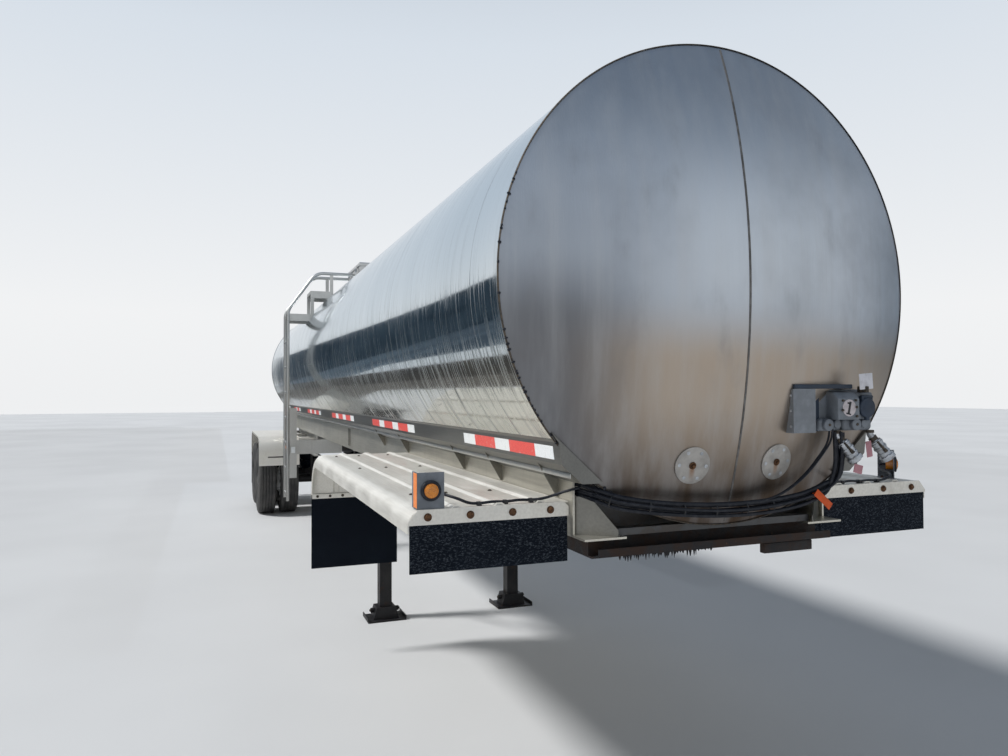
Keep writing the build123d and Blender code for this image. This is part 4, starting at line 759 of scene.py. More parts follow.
def wire(points, radius):  # a smooth line through its control points, as thick as a cable
    data = bpy.data.curves.new("wire", "CURVE")
    data.dimensions = "3D"
    spline = data.splines.new("NURBS")
    spline.points.add(len(points) - 1)
    for point, place in zip(spline.points, points):
        point.co = (*place, 1.0)
    spline.order_u = 3
    spline.use_endpoint_u = True
    data.bevel_depth = radius
    data.bevel_resolution = 3
    data.resolution_u = 10
    data.use_fill_caps = True
    item = bpy.data.objects.new("wire", data)
    bpy.context.scene.collection.objects.link(item)
    pick(item)
    bpy.ops.object.convert(target="MESH")
    return bpy.context.object


# Tank

dish = {"steps": 30, "ball": 2.726, "seamWidth": 0.009, "seamRise": 0.002, "lapRadius": 0.969}


def dishHeight(r):
    return tank["dish"] - dish["ball"] + math.sqrt(dish["ball"] ** 2 - r ** 2)


def makeTankShell():
    clearSelection()
    length = tank["rimX"] - tank["tailX"]
    bpy.ops.mesh.primitive_cylinder_add(
        vertices=256, radius=tank["radius"], depth=length,
        location=(tank["tailX"] + length / 2, 0, tank["axisZ"]), rotation=(0, math.radians(90), 0),
    )
    shell = settle(bpy.context.object)
    openEdit(shell)
    for cut in tank["cuts"]:
        bpy.ops.mesh.select_all(action="SELECT")
        bpy.ops.mesh.bisect(plane_co=(tank["tailX"] + cut, 0, 0), plane_no=(1, 0, 0))
    closeEdit()
    finishPiece(shell, "tankShell", "mirror", hides=["tank_barrel"], smooth=40)


def dishPiece(direction, rimX):
    profile = []
    for step in range(dish["steps"] + 1):
        r = dish["lapRadius"] * step / dish["steps"]
        profile.append((rimX + direction * dishHeight(r), 0, tank["axisZ"] + r))
    profile.append((rimX, 0, tank["axisZ"] + dish["lapRadius"]))
    profile.append((rimX, 0, tank["axisZ"]))
    return spun(profile, (rimX, 0, tank["axisZ"]), (1, 0, 0), steps=192)


def makeHeads():
    finishPiece(dishPiece(1, tank["rimX"]), "frontDish", "satin", hides=["front_head"], smooth=30)
    middle = tank["rimX"] + tank["dish"] - dish["ball"]
    half, rise = dish["seamWidth"] / 2, dish["seamRise"]
    swing = math.asin((tank["radius"] - dish["seamWidth"]) / dish["ball"])
    crown = [(-half, rise * 0.6), (-half * 0.4, rise), (half * 0.4, rise), (half, rise * 0.6)]
    profile = []
    for y, lift in [(-half, -rise)] + crown + [(half, -rise)]:
        reach = dish["ball"] + lift
        profile.append((middle + reach * math.cos(swing), y, tank["axisZ"] - reach * math.sin(swing)))
    centre = (middle, 0, tank["axisZ"])
    seam = spun(profile, centre, (0, 1, 0), steps=72, turn=math.degrees(2 * swing), closed=True)
    finishPiece(seam, "frontSeam", "seam", smooth=60)
    finishPiece(dishPiece(-1, tank["tailX"]), "rearDish", "satin", hides=["rear_head"], smooth=30)


def onDish(y, z):  # a place on the front head, with its outward direction
    drop = z - tank["axisZ"]
    r = math.hypot(y, drop)
    normal = Vector((math.sqrt(dish["ball"] ** 2 - r ** 2), y, drop)).normalized()
    return Vector((tank["rimX"] + dishHeight(r), y, z)), normal


def makeCovers():
    discs, bolts, marks = [], [], []
    washerRadius, washerThick = covers["washer"]
    for side in (-1, 1):
        place, normal = onDish(side * covers["spread"] / 2, tank["axisZ"] - covers["drop"])
        clearSelection()
        bpy.ops.mesh.primitive_cylinder_add(
            vertices=72, radius=covers["radius"], depth=covers["thick"], location=(0, 0, covers["seat"])
        )
        disc = settle(bpy.context.object)
        openEdit(disc)
        chooseFaces(disc, lambda centre, direction: direction.z > 0.9)
        for inset, rise in (covers["lip"], covers["pan"]):
            bpy.ops.mesh.inset(thickness=inset)
            bpy.ops.transform.translate(value=(0, 0, rise))
        closeEdit()
        disc.data.transform(facing(place, normal))
        discs.append(disc)
        clearSelection()
        bpy.ops.mesh.primitive_torus_add(
            major_radius=washerRadius, minor_radius=washerThick, major_segments=28, minor_segments=10
        )
        bolt = merge([settle(bpy.context.object), boltSample(*covers["bolt"])])
        bolt.data.transform(facing(place + normal * covers["boltLift"], normal, side * covers["boltTurn"]))
        bolts.append(bolt)
        for index in range(covers["marks"]):
            angle = math.radians(covers["markStart"] + 360 * index / covers["marks"] + side * covers["markTurn"])
            x, y = covers["markCircle"] * math.cos(angle), covers["markCircle"] * math.sin(angle)
            marks.append(facing(place, normal) @ Matrix.Translation((x, y, covers["markLift"])))
    finishPiece(discs, "headCovers", "cover")
    finishPiece(bolts, "coverBolts", "rust")
    finishPiece(repeat(rivetSample(*covers["mark"]), marks), "coverMarks", "zinc")


rim = {
    "radius": 0.9705, "half": 0.0025, "dabs": 64, "dab": (0.0042, 0.004), "dabInset": 0.003, "sweep": (158, 84),
    "jitter": 0.4, "share": 0.45, "dense": (200, 215), "wide": (0.7, 1.5), "long": (0.8, 1.9),
}


def makeRimLine():
    x, z = tank["rimX"] + tank["rimWidth"], tank["axisZ"]
    r, half = rim["radius"], rim["half"]
    section = ((-half * 2, 0), (-half, half), (half, half * 0.6), (half * 1.6, -half))
    line = spun([(x + along, 0, z + r + out) for along, out in section], (x, 0, z), (1, 0, 0), steps=192)
    finishPiece(line, "rimGasket", "bolt", smooth=60)
    spots = []
    start, sweep = rim["sweep"]
    inset = rim["dabInset"]
    for index in range(rim["dabs"]):
        angle = math.radians(start + sweep * (index + chance.uniform(-rim["jitter"], rim["jitter"])) / rim["dabs"])
        place = Vector((x + inset, r * math.cos(angle), z + (r - inset) * math.sin(angle)))
        if chance.random() < rim["share"] or rim["dense"][0] < math.degrees(angle) < rim["dense"][1]:
            stretch = Matrix.Diagonal((chance.uniform(*rim["wide"]), chance.uniform(*rim["long"]), 1, 1))
            spots.append(facing(place, (1, 0, 0), angle) @ stretch)
    finishPiece(repeat(rivetSample(*rim["dab"]), spots), "rimSealDabs", "jacket")


# Side rail tape

tape = {
    "topY": 0.7374, "topZ": 1.7058, "lowY": 0.7274, "lowZ": 1.6258, "height": 0.051, "lift": 0.0012, "sunk": 0.002,
    "gap": 0.0008, "edge": 0.0004, "white": 0.1778, "red": 0.2794,
    "groups": (
        (0.03, "wrwrw"), (2.15, "wrwrwr"), (4.4, "wrwrwr"), (6.7, "wrwrwr"), (9.0, "wrwr"), (10.6, "wrwr"),
    ),
}


def makeSideTape():
    lean = math.atan2(tape["topY"] - tape["lowY"], tape["topZ"] - tape["lowZ"])
    middle = Vector((0, (tape["topY"] + tape["lowY"]) / 2, (tape["topZ"] + tape["lowZ"]) / 2))
    turn = turned(middle, math.degrees(-lean)) @ Matrix.Translation(-middle)
    half = tape["height"] / 2
    whites, reds = [], []
    for station, pattern in tape["groups"]:
        for letter in pattern:
            length, strips = (tape["white"], whites) if letter == "w" else (tape["red"], reds)
            for side in (-1, 1):
                strip = slab(
                    (at(station + length) + tape["gap"], middle.y - tape["sunk"], middle.z - half),
                    (at(station) - tape["gap"], middle.y + tape["lift"], middle.z + half), edge=tape["edge"], steps=1,
                )
                strip.data.transform(turn)
                if side < 0:
                    strip.data.transform(Matrix.Diagonal((1, -1, 1, 1)))
                    strip.data.flip_normals()
                strips.append(strip)
            station += length
    finishPiece(whites, "tapeWhiteBlocks", "tapeWhite")
    finishPiece(reds, "tapeRedBlocks", "tapeRed")


frameTrim = {
    "lipY": (0.6885, 0.6912), "lipZ": (1.5725, 1.5925), "lipFront": 0.026, "lipEdge": 0.0008,
    "spliceX": at(5.32), "spliceY": 0.6203, "spliceZ": (1.36, 1.535), "spliceWidth": 0.085,
    "barWidth": 0.012, "barThick": 0.004,
}


def makeFrameTrim():
    lips, bars = [], []
    inner, outer = frameTrim["lipY"]
    lipLow, lipHigh = frameTrim["lipZ"]
    barLow, barHigh = frameTrim["spliceZ"]
    half, width, thick = frameTrim["spliceWidth"] / 2, frameTrim["barWidth"], frameTrim["barThick"]
    for side in (-1, 1):
        high = (tank["rimX"] + frameTrim["lipFront"], side * outer, lipHigh)
        lips.append(slab((tank["tailX"], side * inner, lipLow), high, edge=frameTrim["lipEdge"]))
        face = side * frameTrim["spliceY"]
        for x in (frameTrim["spliceX"] - half, frameTrim["spliceX"] + half - width):
            bars.append(slab((x, face, barLow), (x + width, face + side * thick, barHigh), edge=0.001))
    finishPiece(lips, "railLipStrips", "sheet")
    finishPiece(bars, "webSpliceBars", "bolt")


couplerTrim = {
    "dripY": (-0.46, -0.04), "drips": 46, "dripRadius": 0.0042, "dripLength": 0.012, "tipLength": 0.004,
    "jitter": 0.6, "long": (0.3, 1.0), "stretch": 1.7, "wide": (0.7, 1.5), "back": (0.001, 0.014), "lift": 0.001,
    "noseZ": 1.265, "heelX": (at(0.06), at(0.03)), "heelY": (0.235, 0.488), "heelZ": (1.214, 1.256),
}


def makeCouplerTrim():
    clearSelection()
    length = couplerTrim["dripLength"]
    bpy.ops.mesh.primitive_cylinder_add(
        vertices=8, radius=couplerTrim["dripRadius"], depth=length, location=(0, 0, -length / 2)
    )
    drip = settle(bpy.context.object)
    openEdit(drip)
    chooseFaces(drip, lambda centre, normal: normal.z < -0.9)
    bpy.ops.transform.resize(value=(0.35, 0.35, 1))
    bpy.ops.mesh.extrude_region_move(TRANSFORM_OT_translate={"value": (0, 0, -couplerTrim["tipLength"])})
    bpy.ops.transform.resize(value=(0.3, 0.3, 1))
    closeEdit()
    spots = []
    low, high = couplerTrim["dripY"]
    jitter, count = couplerTrim["jitter"], couplerTrim["drips"]
    for index in range(count):
        y = low + (high - low) * (index + chance.uniform(-jitter, jitter)) / count
        long = chance.uniform(*couplerTrim["long"]) ** 2 * couplerTrim["stretch"]
        wide = chance.uniform(*couplerTrim["wide"])
        back = chance.uniform(*couplerTrim["back"])
        place = Matrix.Translation((at(0) - back, y, couplerTrim["noseZ"] - back / 4 + couplerTrim["lift"]))
        spots.append(place @ Matrix.Diagonal((wide, wide, long, 1)))
    finishPiece(repeat(drip, spots), "greaseDrips", "black", smooth=50)
    low, high = zip(*(couplerTrim[key] for key in ("heelX", "heelY", "heelZ")))
    finishPiece(slab(low, high, edge=0.003), "couplerHeel", "coupler")


# Front fenders

fenderTrim = {
    "flangeBolts": {-1: (0.074, 0.235, 0.405, 0.565), 1: (0.184, 0.379, 0.556)}, "flangeDrop": 0.028,
    "flangeFace": 0.004, "jitter": 0.006, "flangeBolt": (0.022, 0.009, 0.03), "bolt": (0.014, 0.005, 0.02),
    "rows": (0.42, 1.62, 2.5), "rowBolts": (0.175, 0.375, 0.525),
    "stripX": 0.0125, "stripThick": 0.003, "stripZ": (1.128, 1.162), "stripEnds": (0.008, 0.012),
    "stripBolts": 7, "stripBoltEnd": 0.05, "wingX": (5.912, 5.92), "wingY": (0.563, 0.64), "wingZ": (1.246, 1.329),
}


def fenderPoint(side, behind, outward, above):
    return Vector((fender["frontX"] - behind, side * (fender["innerY"] + outward), fender["topZ"] + above))


def makeFenderTrim():
    rusty, dark, strips = [], [], []
    width = fender["outerY"] - fender["innerY"]
    jitter, end = fenderTrim["jitter"], fenderTrim["stripBoltEnd"]
    low, high = fenderTrim["stripZ"]
    front = fender["rearX"] + fenderTrim["stripX"]
    face = front + fenderTrim["stripThick"]
    inner, outer = fender["innerY"] + fenderTrim["stripEnds"][0], fender["outerY"] - fenderTrim["stripEnds"][1]
    for side in (-1, 1):
        for outward in fenderTrim["flangeBolts"][side]:
            outward += chance.uniform(-jitter, jitter)
            place = fenderPoint(side, -fenderTrim["flangeFace"], outward, -fenderTrim["flangeDrop"])
            rusty.append(facingLoose(place, (1, 0, 0)))
        for station in fenderTrim["rows"]:
            for outward in fenderTrim["rowBolts"]:
                dark.append(facingLoose(fenderPoint(side, station, outward, 0), (0, 0, 1)))
        strips.append(slab((front, side * inner, low), (face, side * outer, high), edge=0.001))
        for index in range(fenderTrim["stripBolts"]):
            y = side * (fender["innerY"] + end + (width - 2 * end) * index / (fenderTrim["stripBolts"] - 1))
            dark.append(facingLoose((face, y, (low + high) / 2), (1, 0, 0)))
    finishPiece(repeat(boltSample(*fenderTrim["flangeBolt"]), rusty), "flangeBolts", "rust")
    finishPiece(repeat(boltSample(*fenderTrim["bolt"]), dark), "fenderBolts", "bolt")
    finishPiece(strips, "flapStrips", "fender")
    low, high = zip(*(fenderTrim[key] for key in ("wingX", "wingY", "wingZ")))
    finishPiece(slab(low, high, edge=0.001), "flapInnerEdge", "rubber")


# Marker lamps

marker = {
    "spots": {-1: (0.004, 0.088, 0.0), 1: (0.124, 0.052, 42.0)}, "seat": 0.0003, "width": 0.103, "height": 0.134,
    "dome": ((1.0, 0.0), (1.0, 0.009), (0.86, 0.0135), (0.5, 0.0165), (0.0, 0.0175)), "lens": 0.0262,
    "lip": (
        (0.0266, 0.001), (0.0266, 0.0085), (0.029, 0.0105), (0.0365, 0.0092), (0.0385, 0.006), (0.0385, 0.001),
    ),
    "strip": {"x": (-0.05, -0.001), "thick": 0.0012, "z": (0.004, 0.131), "edge": 0.0004},
    "screws": ((-0.02, 0.03, 0.004), (-0.055, -0.03, 0.004)), "screw": (0.012, 0.006, 0.017),
}


def markerFrame(side):  # the middle of a bracket's foot, its plate turned forward
    behind, inset, turn = marker["spots"][side]
    place = Vector((fender["frontX"] - behind, side * (fender["outerY"] - inset), fender["topZ"] + marker["seat"]))
    return turned(place, side * turn, "Z")


def makeMarkers():
    lenses, grommets, strips, screws = [], [], [], []
    strip = marker["strip"]
    half = marker["width"] / 2
    dome = [(marker["lens"] * share, rise) for share, rise in marker["dome"]]
    for side in (-1, 1):
        stand = markerFrame(side)
        middle = stand @ turned((0, 0, marker["height"] / 2), 90, "Y")
        lenses.append(lathed(dome, middle))
        grommets.append(lathed(marker["lip"], middle))
        low = (strip["x"][0], side * half, strip["z"][0])
        high = (strip["x"][1], side * (half + strip["thick"]), strip["z"][1])
        strips.append(slab(low, high, edge=strip["edge"], steps=1))
        strips[-1].data.transform(stand)
        screws += [stand @ Matrix.Translation(spot) for spot in marker["screws"]]
    finishPiece(lenses, "markerDomes", "amber", smooth=50)
    finishPiece(grommets, "markerGrommets", "jacket", smooth=50)
    finishPiece(strips, "markerStrips", "tapeOrange")
    finishPiece(repeat(boltSample(*marker["screw"]), screws), "markerScrews", "rust")


# Nose box

nose = {
    "frontX": 6.236, "seatX": 6.206,
    "slabs": (  # low corner, high corner, edge, steps
        ((6.158, 0.388, 1.776), (6.172, 0.655, 1.902), 0.003, 2),
        ((6.145, 0.537, 1.778), (6.206, 0.651, 1.89), 0.01, 4),
        ((6.11, 0.335, 1.798), (6.149, 0.432, 1.872), 0.003, 2),
        ((6.115, 0.374, 1.731), (6.194, 0.492, 1.784), 0.016, 5),
        ((6.115, 0.5, 1.731), (6.194, 0.658, 1.784), 0.016, 5),
    ),
    "face": ((6.145, 1.778), (6.236, 1.778), (6.236, 1.864), (6.208, 1.89), (6.145, 1.9)), "faceY": (0.434, 0.547),
    "ports": (  # across, height, reach from the seat, radius, steps, edge
        (0.413, 1.757, 0.004, 0.0255, 32, 0.006), (0.463, 1.76, -0.002, 0.019, 28, 0.005),
        (0.559, 1.757, 0.004, 0.0255, 32, 0.006), (0.609, 1.76, -0.002, 0.019, 28, 0.005),
    ),
    "portDepth": 0.02, "bolt": (0.011, 0.005),
    "bolts": (
        (6.2382, 0.4535, 1.817), (6.2382, 0.5265, 1.829), (6.2382, 0.456, 1.856), (6.2382, 0.522, 1.857),
        (6.2382, 0.528, 1.792), (6.209, 0.413, 1.757), (6.209, 0.559, 1.757),
    ),
}
bracket = {
    "outline": (
        (6.1, 0.23), (6.208, 0.23), (6.21, 0.236), (6.21, 0.342), (6.12, 0.342), (6.12, 0.338), (6.206, 0.338),
        (6.206, 0.235), (6.1, 0.234),
    ),
    "lowZ": 1.727, "height": 0.177, "fold": ((6.208, 0.229, 1.727), (6.2115, 0.237, 1.904)),
    "rivets": ((6.196, 0.23, 1.75355), (6.196, 0.23, 1.8155), (6.196, 0.23, 1.87745)), "rivet": (0.0055, 0.003),
    "hood": ((6.12, 0.236, 1.9045), (6.212, 0.535, 1.9225)), "gapShadeBlock": ((6.13, 0.342, 1.73), (6.176, 0.392, 1.908)),
}


def makeNoseBox():
    parts = [slab(*row) for row in nose["slabs"]]
    near, far = nose["faceY"]
    face = outlineSheet([(x, near, z) for x, z in nose["face"]], (0, far - near, 0))
    parts.append(shape(face, "BEVEL", width=0.004, segments=3, limit_method="ANGLE"))
    for y, z, reach, radius, steps, edge in nose["ports"]:
        start, end = (nose["seatX"] - nose["portDepth"], y, z), (nose["seatX"] + reach, y, z)
        parts.append(rod(start, end, radius, steps, edge))
    finishPiece(parts, "lampSocketBox", "casting", smooth=40, hides=["connector_box"])


def makeBoxBracket():
    sheet = outlineSheet([(x, y, bracket["lowZ"]) for x, y in bracket["outline"]], (0, 0, bracket["height"]))
    finishPiece([sheet, slab(*bracket["fold"], edge=0.001)], "boxBracket", "bracket", smooth=30)


def makeBoxHood():
    rivets = [facing(place, (0, -1, 0)) for place in bracket["rivets"]]
    finishPiece(repeat(rivetSample(*bracket["rivet"]), rivets), "bracketRivets", "zinc")
    # The dark block between the bracket and the box is painted shade: it fills the shaded gap there.
    hood = [slab(*bracket["hood"], edge=0.003), slab(*bracket["gapShadeBlock"])]
    finishPiece(hood, "boxHood", "socket")


plate = {
    "y": 0.49, "z": 1.826, "radius": 0.0345, "thick": 0.0025, "edge": 0.0006, "lean": -13,
    "figureX": (6.238, 6.2393), "figureEdge": 0.0008,
    "strokes": (  # the figure 1, as low and high corners
        ((-0.0055, -0.025), (0.0055, 0.026)), ((-0.0145, 0.0145), (-0.001, 0.0215)),
        ((-0.0125, -0.0275), (0.0125, -0.0215)),
    ),
}


def makeNumberPlate():
    centre = Vector((nose["frontX"], plate["y"], plate["z"]))
    disc = rod(centre, centre + Vector((plate["thick"], 0, 0)), plate["radius"], 56, plate["edge"])
    finishPiece(disc, "roundPlate", "plate")
    back, front = plate["figureX"]
    figure = merge([slab((back, *low), (front, *high), edge=plate["figureEdge"]) for low, high in plate["strokes"]])
    figure.data.transform(turned((0, plate["y"], plate["z"]), plate["lean"]))
    finishPiece(figure, "plateFigure", "ink")


socket = {
    "place": (6.216, 0.602, 1.826), "radius": 0.041,
    "profile": ((0, 0.016), (0.55, 0.016), (0.72, 0.011), (0.92, 0.011), (1, 0.008), (1, -0.004)),
    "hinge": ((6.218, 0.572, 1.871), (6.218, 0.632, 1.871), 0.0065, 20, 0.001),
    "slabs": (  # two ears and the latch
        ((6.206, 0.573, 1.855), (6.224, 0.583, 1.875), 0.002), ((6.206, 0.621, 1.855), (6.224, 0.631, 1.875), 0.002),
        ((6.212, 0.593, 1.773), (6.226, 0.611, 1.793), 0.003),
    ),
}


def makeSocketCover():
    profile = [(socket["radius"] * share, rise) for share, rise in socket["profile"]]
    parts = [lathed(profile, facing(socket["place"], (1, 0, 0)), steps=56), rod(*socket["hinge"])]
    parts += [slab(*row) for row in socket["slabs"]]
    finishPiece(parts, "socketCover", "socket", smooth=40)
    spots = [facingLoose(place, (1, 0, 0)) for place in nose["bolts"]]
    finishPiece(repeat(boltSample(*nose["bolt"]), spots), "noseBolts", "bolt")


hand = {
    "x": 6.18, "spots": (0.479, 0.658), "topZ": 1.73, "tilt": 34.0, "forward": 0.5, "knee": 0.018,
    "collar": ((-0.011, 0.001), 0.0175, 6, 0.001),
    "rods": {  # each end's distance along the hand and across it, radius, steps, edge
        "elbows": (((0.013, 0), (0.03, 0), 0.0185, 6, 0.001),),
        "castings": (
            ((0.0402, 0), (0.0502, 0), 0.0265, 40, 0.002), ((0.06228, 0), (0.07228, 0), 0.0275, 40, 0.002),
            ((0.08804, 0), (0.09804, 0), 0.0265, 40, 0.002), ((0.108, 0), (0.129, 0), 0.0275, 48, 0.004),
        ),
        "seals": (((0.1285, 0), (0.1315, 0), 0.0205, 40, 0.001),),
        "levers": (
            ((0.036, 0.022), (0.081, 0.036), 0.005, 16, 0.001), ((0.074, 0.033), (0.088, 0.039), 0.0075, 18, 0.002),
        ),
    },
    "ear": ((-0.036, -0.007, -0.012), (0.012, 0.007, 0.012)), "earSpot": (0.116, 0.02),
}


def makeGladhandTrim():
    lean = math.radians(hand["tilt"])
    along = Vector((math.sin(lean) * hand["forward"], math.sin(lean), -math.cos(lean))).normalized()
    across = along.cross(Vector((0, 0, 1))).normalized()
    made = {key: [] for key in hand["rods"]}
    (low, high), *size = hand["collar"]
    far, aside = hand["earSpot"]
    for y in hand["spots"]:
        x, top = hand["x"], hand["topZ"]
        made["elbows"].append(rod((x, y, top + low), (x, y, top + high), *size))
        knee = Vector((x, y, top - hand["knee"]))
        for key, rows in hand["rods"].items():
            for *ends, radius, steps, edge in rows:
                start, end = (knee + along * distance + across * shift for distance, shift in ends)
                made[key].append(rod(start, end, radius, steps, edge))
        ear = slab(*hand["ear"], edge=0.003)
        ear.data.transform(facing(knee + along * far + across * aside, along))
        made["castings"].append(ear)
    finishPiece(made["elbows"], "gladhandElbows", "bolt")
    finishPiece(made["castings"], "gladhandCastings", "zinc", smooth=40)
    finishPiece(made["seals"], "gladhandSeals", "jacket")
    finishPiece(made["levers"], "gladhandLevers", "bolt")


papers = {
    "card": ((6.232, 0.552, 1.903), (6.2335, 0.624, 1.968)), "pin": Vector((0, 0.6, 1.9)), "lean": 4,
    "clip": ((6.19, 0.58, 1.888), (6.238, 0.596, 1.914)), "edge": 0.0006,
    "tagX": 6.225, "tags": ((0.605, 1.655, 0.015, 0.033, 8), (0.545, 1.575, 0.023, 0.018, -14)),
}


def makeNoseTags():
    card = slab(*papers["card"], edge=papers["edge"])
    card.data.transform(turned(papers["pin"], papers["lean"]) @ Matrix.Translation(-papers["pin"]))
    finishPiece(card, "paperCard", "card")
    finishPiece(slab(*papers["clip"]), "cardClip", "bolt")
    tags = []
    for y, z, halfY, halfZ, tip in papers["tags"]:
        tags.append(slab((-0.001, -halfY, -halfZ), (0.001, halfY, halfZ), edge=papers["edge"]))
        tags[-1].data.transform(turned((papers["tagX"], y, z), tip))
    finishPiece(tags, "wornTags", "tag")


# Cables

cable = {
    "route": (
        (6.176, 0.478, 1.726), (6.178, 0.479, 1.66), (6.176, 0.478, 1.59), (6.168, 0.468, 1.535),
        (6.158, 0.435, 1.495), (6.150, 0.36, 1.465), (6.150, 0.28, 1.448), (6.148, 0.12, 1.430),
        (6.148, -0.09, 1.428), (6.142, -0.29, 1.444), (6.125, -0.43, 1.462), (6.08, -0.52, 1.478),
        (6.02, -0.585, 1.508), (5.91, -0.592, 1.512),
    ),
    "upright": 4, "wobble": 0.002,  # the first points hang down from the box
    "strands": ((0.011, 0.0, 0.0), (0.011, 0.023, 0.007), (0.0075, -0.018, 0.012), (0.0055, 0.006, 0.021)),
    "loop": (
        (6.19, 0.43, 1.735), (6.19, 0.428, 1.69), (6.18, 0.385, 1.63), (6.175, 0.325, 1.565), (6.165, 0.25, 1.505),
        (6.155, 0.16, 1.462), (6.150, 0.05, 1.446),
    ),
    "loopRadius": 0.0042, "loopShift": (0.011, 0.0066, 0.0055),
    "ties": (0.37, 0.46, 0.56, 0.66, 0.76, 0.86), "tieRadius": 0.0245, "tieWidth": 0.006, "tieThick": 0.0014,
    "tieShift": (0.006, 0, 0.004),
}
strap = {
    "band": ((6.15, 0.372, 1.474), (6.17, 0.371, 1.476), (6.189, 0.371, 1.474)), "bandRadius": 0.006,
    "tail": ((-0.0014, -0.0155, -0.05), (0.0014, 0.0155, 0.05)), "tailSpot": (6.19, 0.395, 1.454), "tailTurn": 50,
}


def strandRoute(side, lift):  # the cable's route, beside and above its own line
    wobble = cable["wobble"]
    places = []
    for index, spot in enumerate(cable["route"]):
        drift = Vector((wobble * math.sin(index * 1.9 + lift * 300), 0, wobble * math.sin(index * 1.3 + side * 200)))
        shift = Vector((lift, side, 0)) if index < cable["upright"] else Vector((lift * 1.4, 0, side))
        places.append(Vector(spot) + shift + drift)
    return places


def makeCables():
    strands = [wire(strandRoute(side, lift), radius) for radius, side, lift in cable["strands"]]
    for shift in (Vector((0, 0, 0)), Vector(cable["loopShift"])):
        strands.append(wire([Vector(spot) + shift for spot in cable["loop"]], cable["loopRadius"]))
    finishPiece(strands, "noseCables", "jacket", smooth=60, hides=["cable_bundle"])
    ties = []
    route = [Vector(spot) for spot in cable["route"]]
    lengths = [(b - a).length for a, b in zip(route, route[1:])]
    for share in cable["ties"]:
        goal = share * sum(lengths)
        for start, end, length in zip(route, route[1:], lengths):
            if goal <= length:
                break
            goal -= length
        clearSelection()
        bpy.ops.mesh.primitive_cylinder_add(vertices=28, radius=cable["tieRadius"], depth=cable["tieWidth"])
        tie = settle(bpy.context.object)
        openEdit(tie)
        chooseFaces(tie, lambda centre, normal: abs(normal.z) > 0.9)
        bpy.ops.mesh.delete(type="FACE")
        closeEdit()
        shape(tie, "SOLIDIFY", thickness=cable["tieThick"])
        spot = start.lerp(end, goal / length) + Vector(cable["tieShift"])
        tie.data.transform(facing(spot, (end - start).normalized()))
        ties.append(tie)
    finishPiece(ties, "cableTies", "ink")
    tail = slab(*strap["tail"], edge=0.0012)
    tail.data.transform(turned(strap["tailSpot"], strap["tailTurn"]))
    finishPiece([wire(strap["band"], strap["bandRadius"]), tail], "orangeStrap", "strap")


lampWire = {
    "radius": 0.0055,
    "run": (  # behind the fender's front, outward and above
        (0.008, 0.452, 0.034), (0.014, 0.405, 0.012), (0.02, 0.362, 0.008), (0.013, 0.31, 0.014),
        (0.021, 0.255, 0.009), (0.014, 0.2, 0.015), (0.02, 0.15, 0.01), (0.008, 0.1, 0.015), (-0.002, 0.05, 0.03),
    ),
    "ends": {
        -1: ((-0.034, 0.02, 0.046), (-0.07, -0.017, 0.06)),
        1: ((-0.06, 0.014, 0.04), (-0.154, -0.034, 0.033), (-0.206, -0.113, 0.065)),
    },
    "back": ((-0.038, 0, 0.067), (-0.072, 0, 0.067), (-0.064, 0.064, 0.044)),
    "clips": (2, 4, 6), "clip": ((-0.011, -0.008, -0.009), (0.011, 0.008, 0.0075)),
}


def makeLampWires():
    wires, clips = [], []
    for side in (-1, 1):
        run = [markerFrame(side) @ Vector((x, -side * y, z)) for x, y, z in lampWire["back"]]
        run += [fenderPoint(side, *spot) for spot in lampWire["run"] + lampWire["ends"][side]]
        wires.append(wire(run, lampWire["radius"]))
        for index in lampWire["clips"]:
            clips.append(slab(*lampWire["clip"]))
            clips[-1].data.transform(Matrix.Translation(fenderPoint(side, *lampWire["run"][index])))
    finishPiece(clips, "wireClips", "ink")
    finishPiece(wires, "markerWires", "jacket", smooth=60, hides=["lamp_wires"])


# Wheels

wheel = {
    "axles": (-4.146, -5.391), "axisZ": 0.525, "track": 0.984, "offset": 0.168, "radius": 0.525, "bead": 0.2866,
    "groove": 0.013, "grooves": (-0.066, -0.022, 0.022, 0.066), "grooveTop": 0.0075, "grooveFloor": 0.0045,
    "wall": (  # height over the bead and distance from the middle
        (0, 0.086), (0.012, 0.098), (0.022, 0.104), (0.03, 0.118), (0.07, 0.1325), (0.075, 0.1345), (0.08, 0.1335),
        (0.115, 0.1385), (0.15, 0.137),
    ),
    "shoulder": ((0.05, 0.128), (0.046, 0.1295), (0.028, 0.122), (0.007, 0.1135), (0.0015, 0.104)),
    "nuts": 10, "nutCircle": 0.1425, "nutFace": 0.0142, "nut": (0.036, 0.024, 0.046),
    "caps": 6, "capCircle": 0.05, "capReach": 0.15, "cap": (0.014, 0.006),
}


def tyreSample():  # a worn highway tyre round the Y axis
    top = wheel["radius"]
    deep = top - wheel["groove"]
    flank = [(wheel["bead"] + rise, -y) for rise, y in wheel["wall"]]
    flank += [(top - drop, -y) for drop, y in wheel["shoulder"]]
    tread = []
    for centre in wheel["grooves"]:
        wide, narrow = wheel["grooveTop"], wheel["grooveFloor"]
        tread += [(top, centre - wide), (deep, centre - narrow), (deep, centre + narrow), (top, centre + wide)]
    profile = flank + tread + [(r, -y) for r, y in reversed(flank)]
    return spun([(r, y, 0) for r, y in profile], (0, 0, 0), (0, 1, 0), steps=96)


def boltRing(x, side, reach, circle, count, shift=0.0):  # places round an axle's end
    spots = []
    for index in range(count):
        turn = 2 * math.pi * (index + shift) / count
        z = wheel["axisZ"] + circle * math.sin(turn)
        place = (x + circle * math.cos(turn), side * (wheel["track"] + reach), z)
        spots.append(facing(place, (0, side, 0), turn))
    return spots


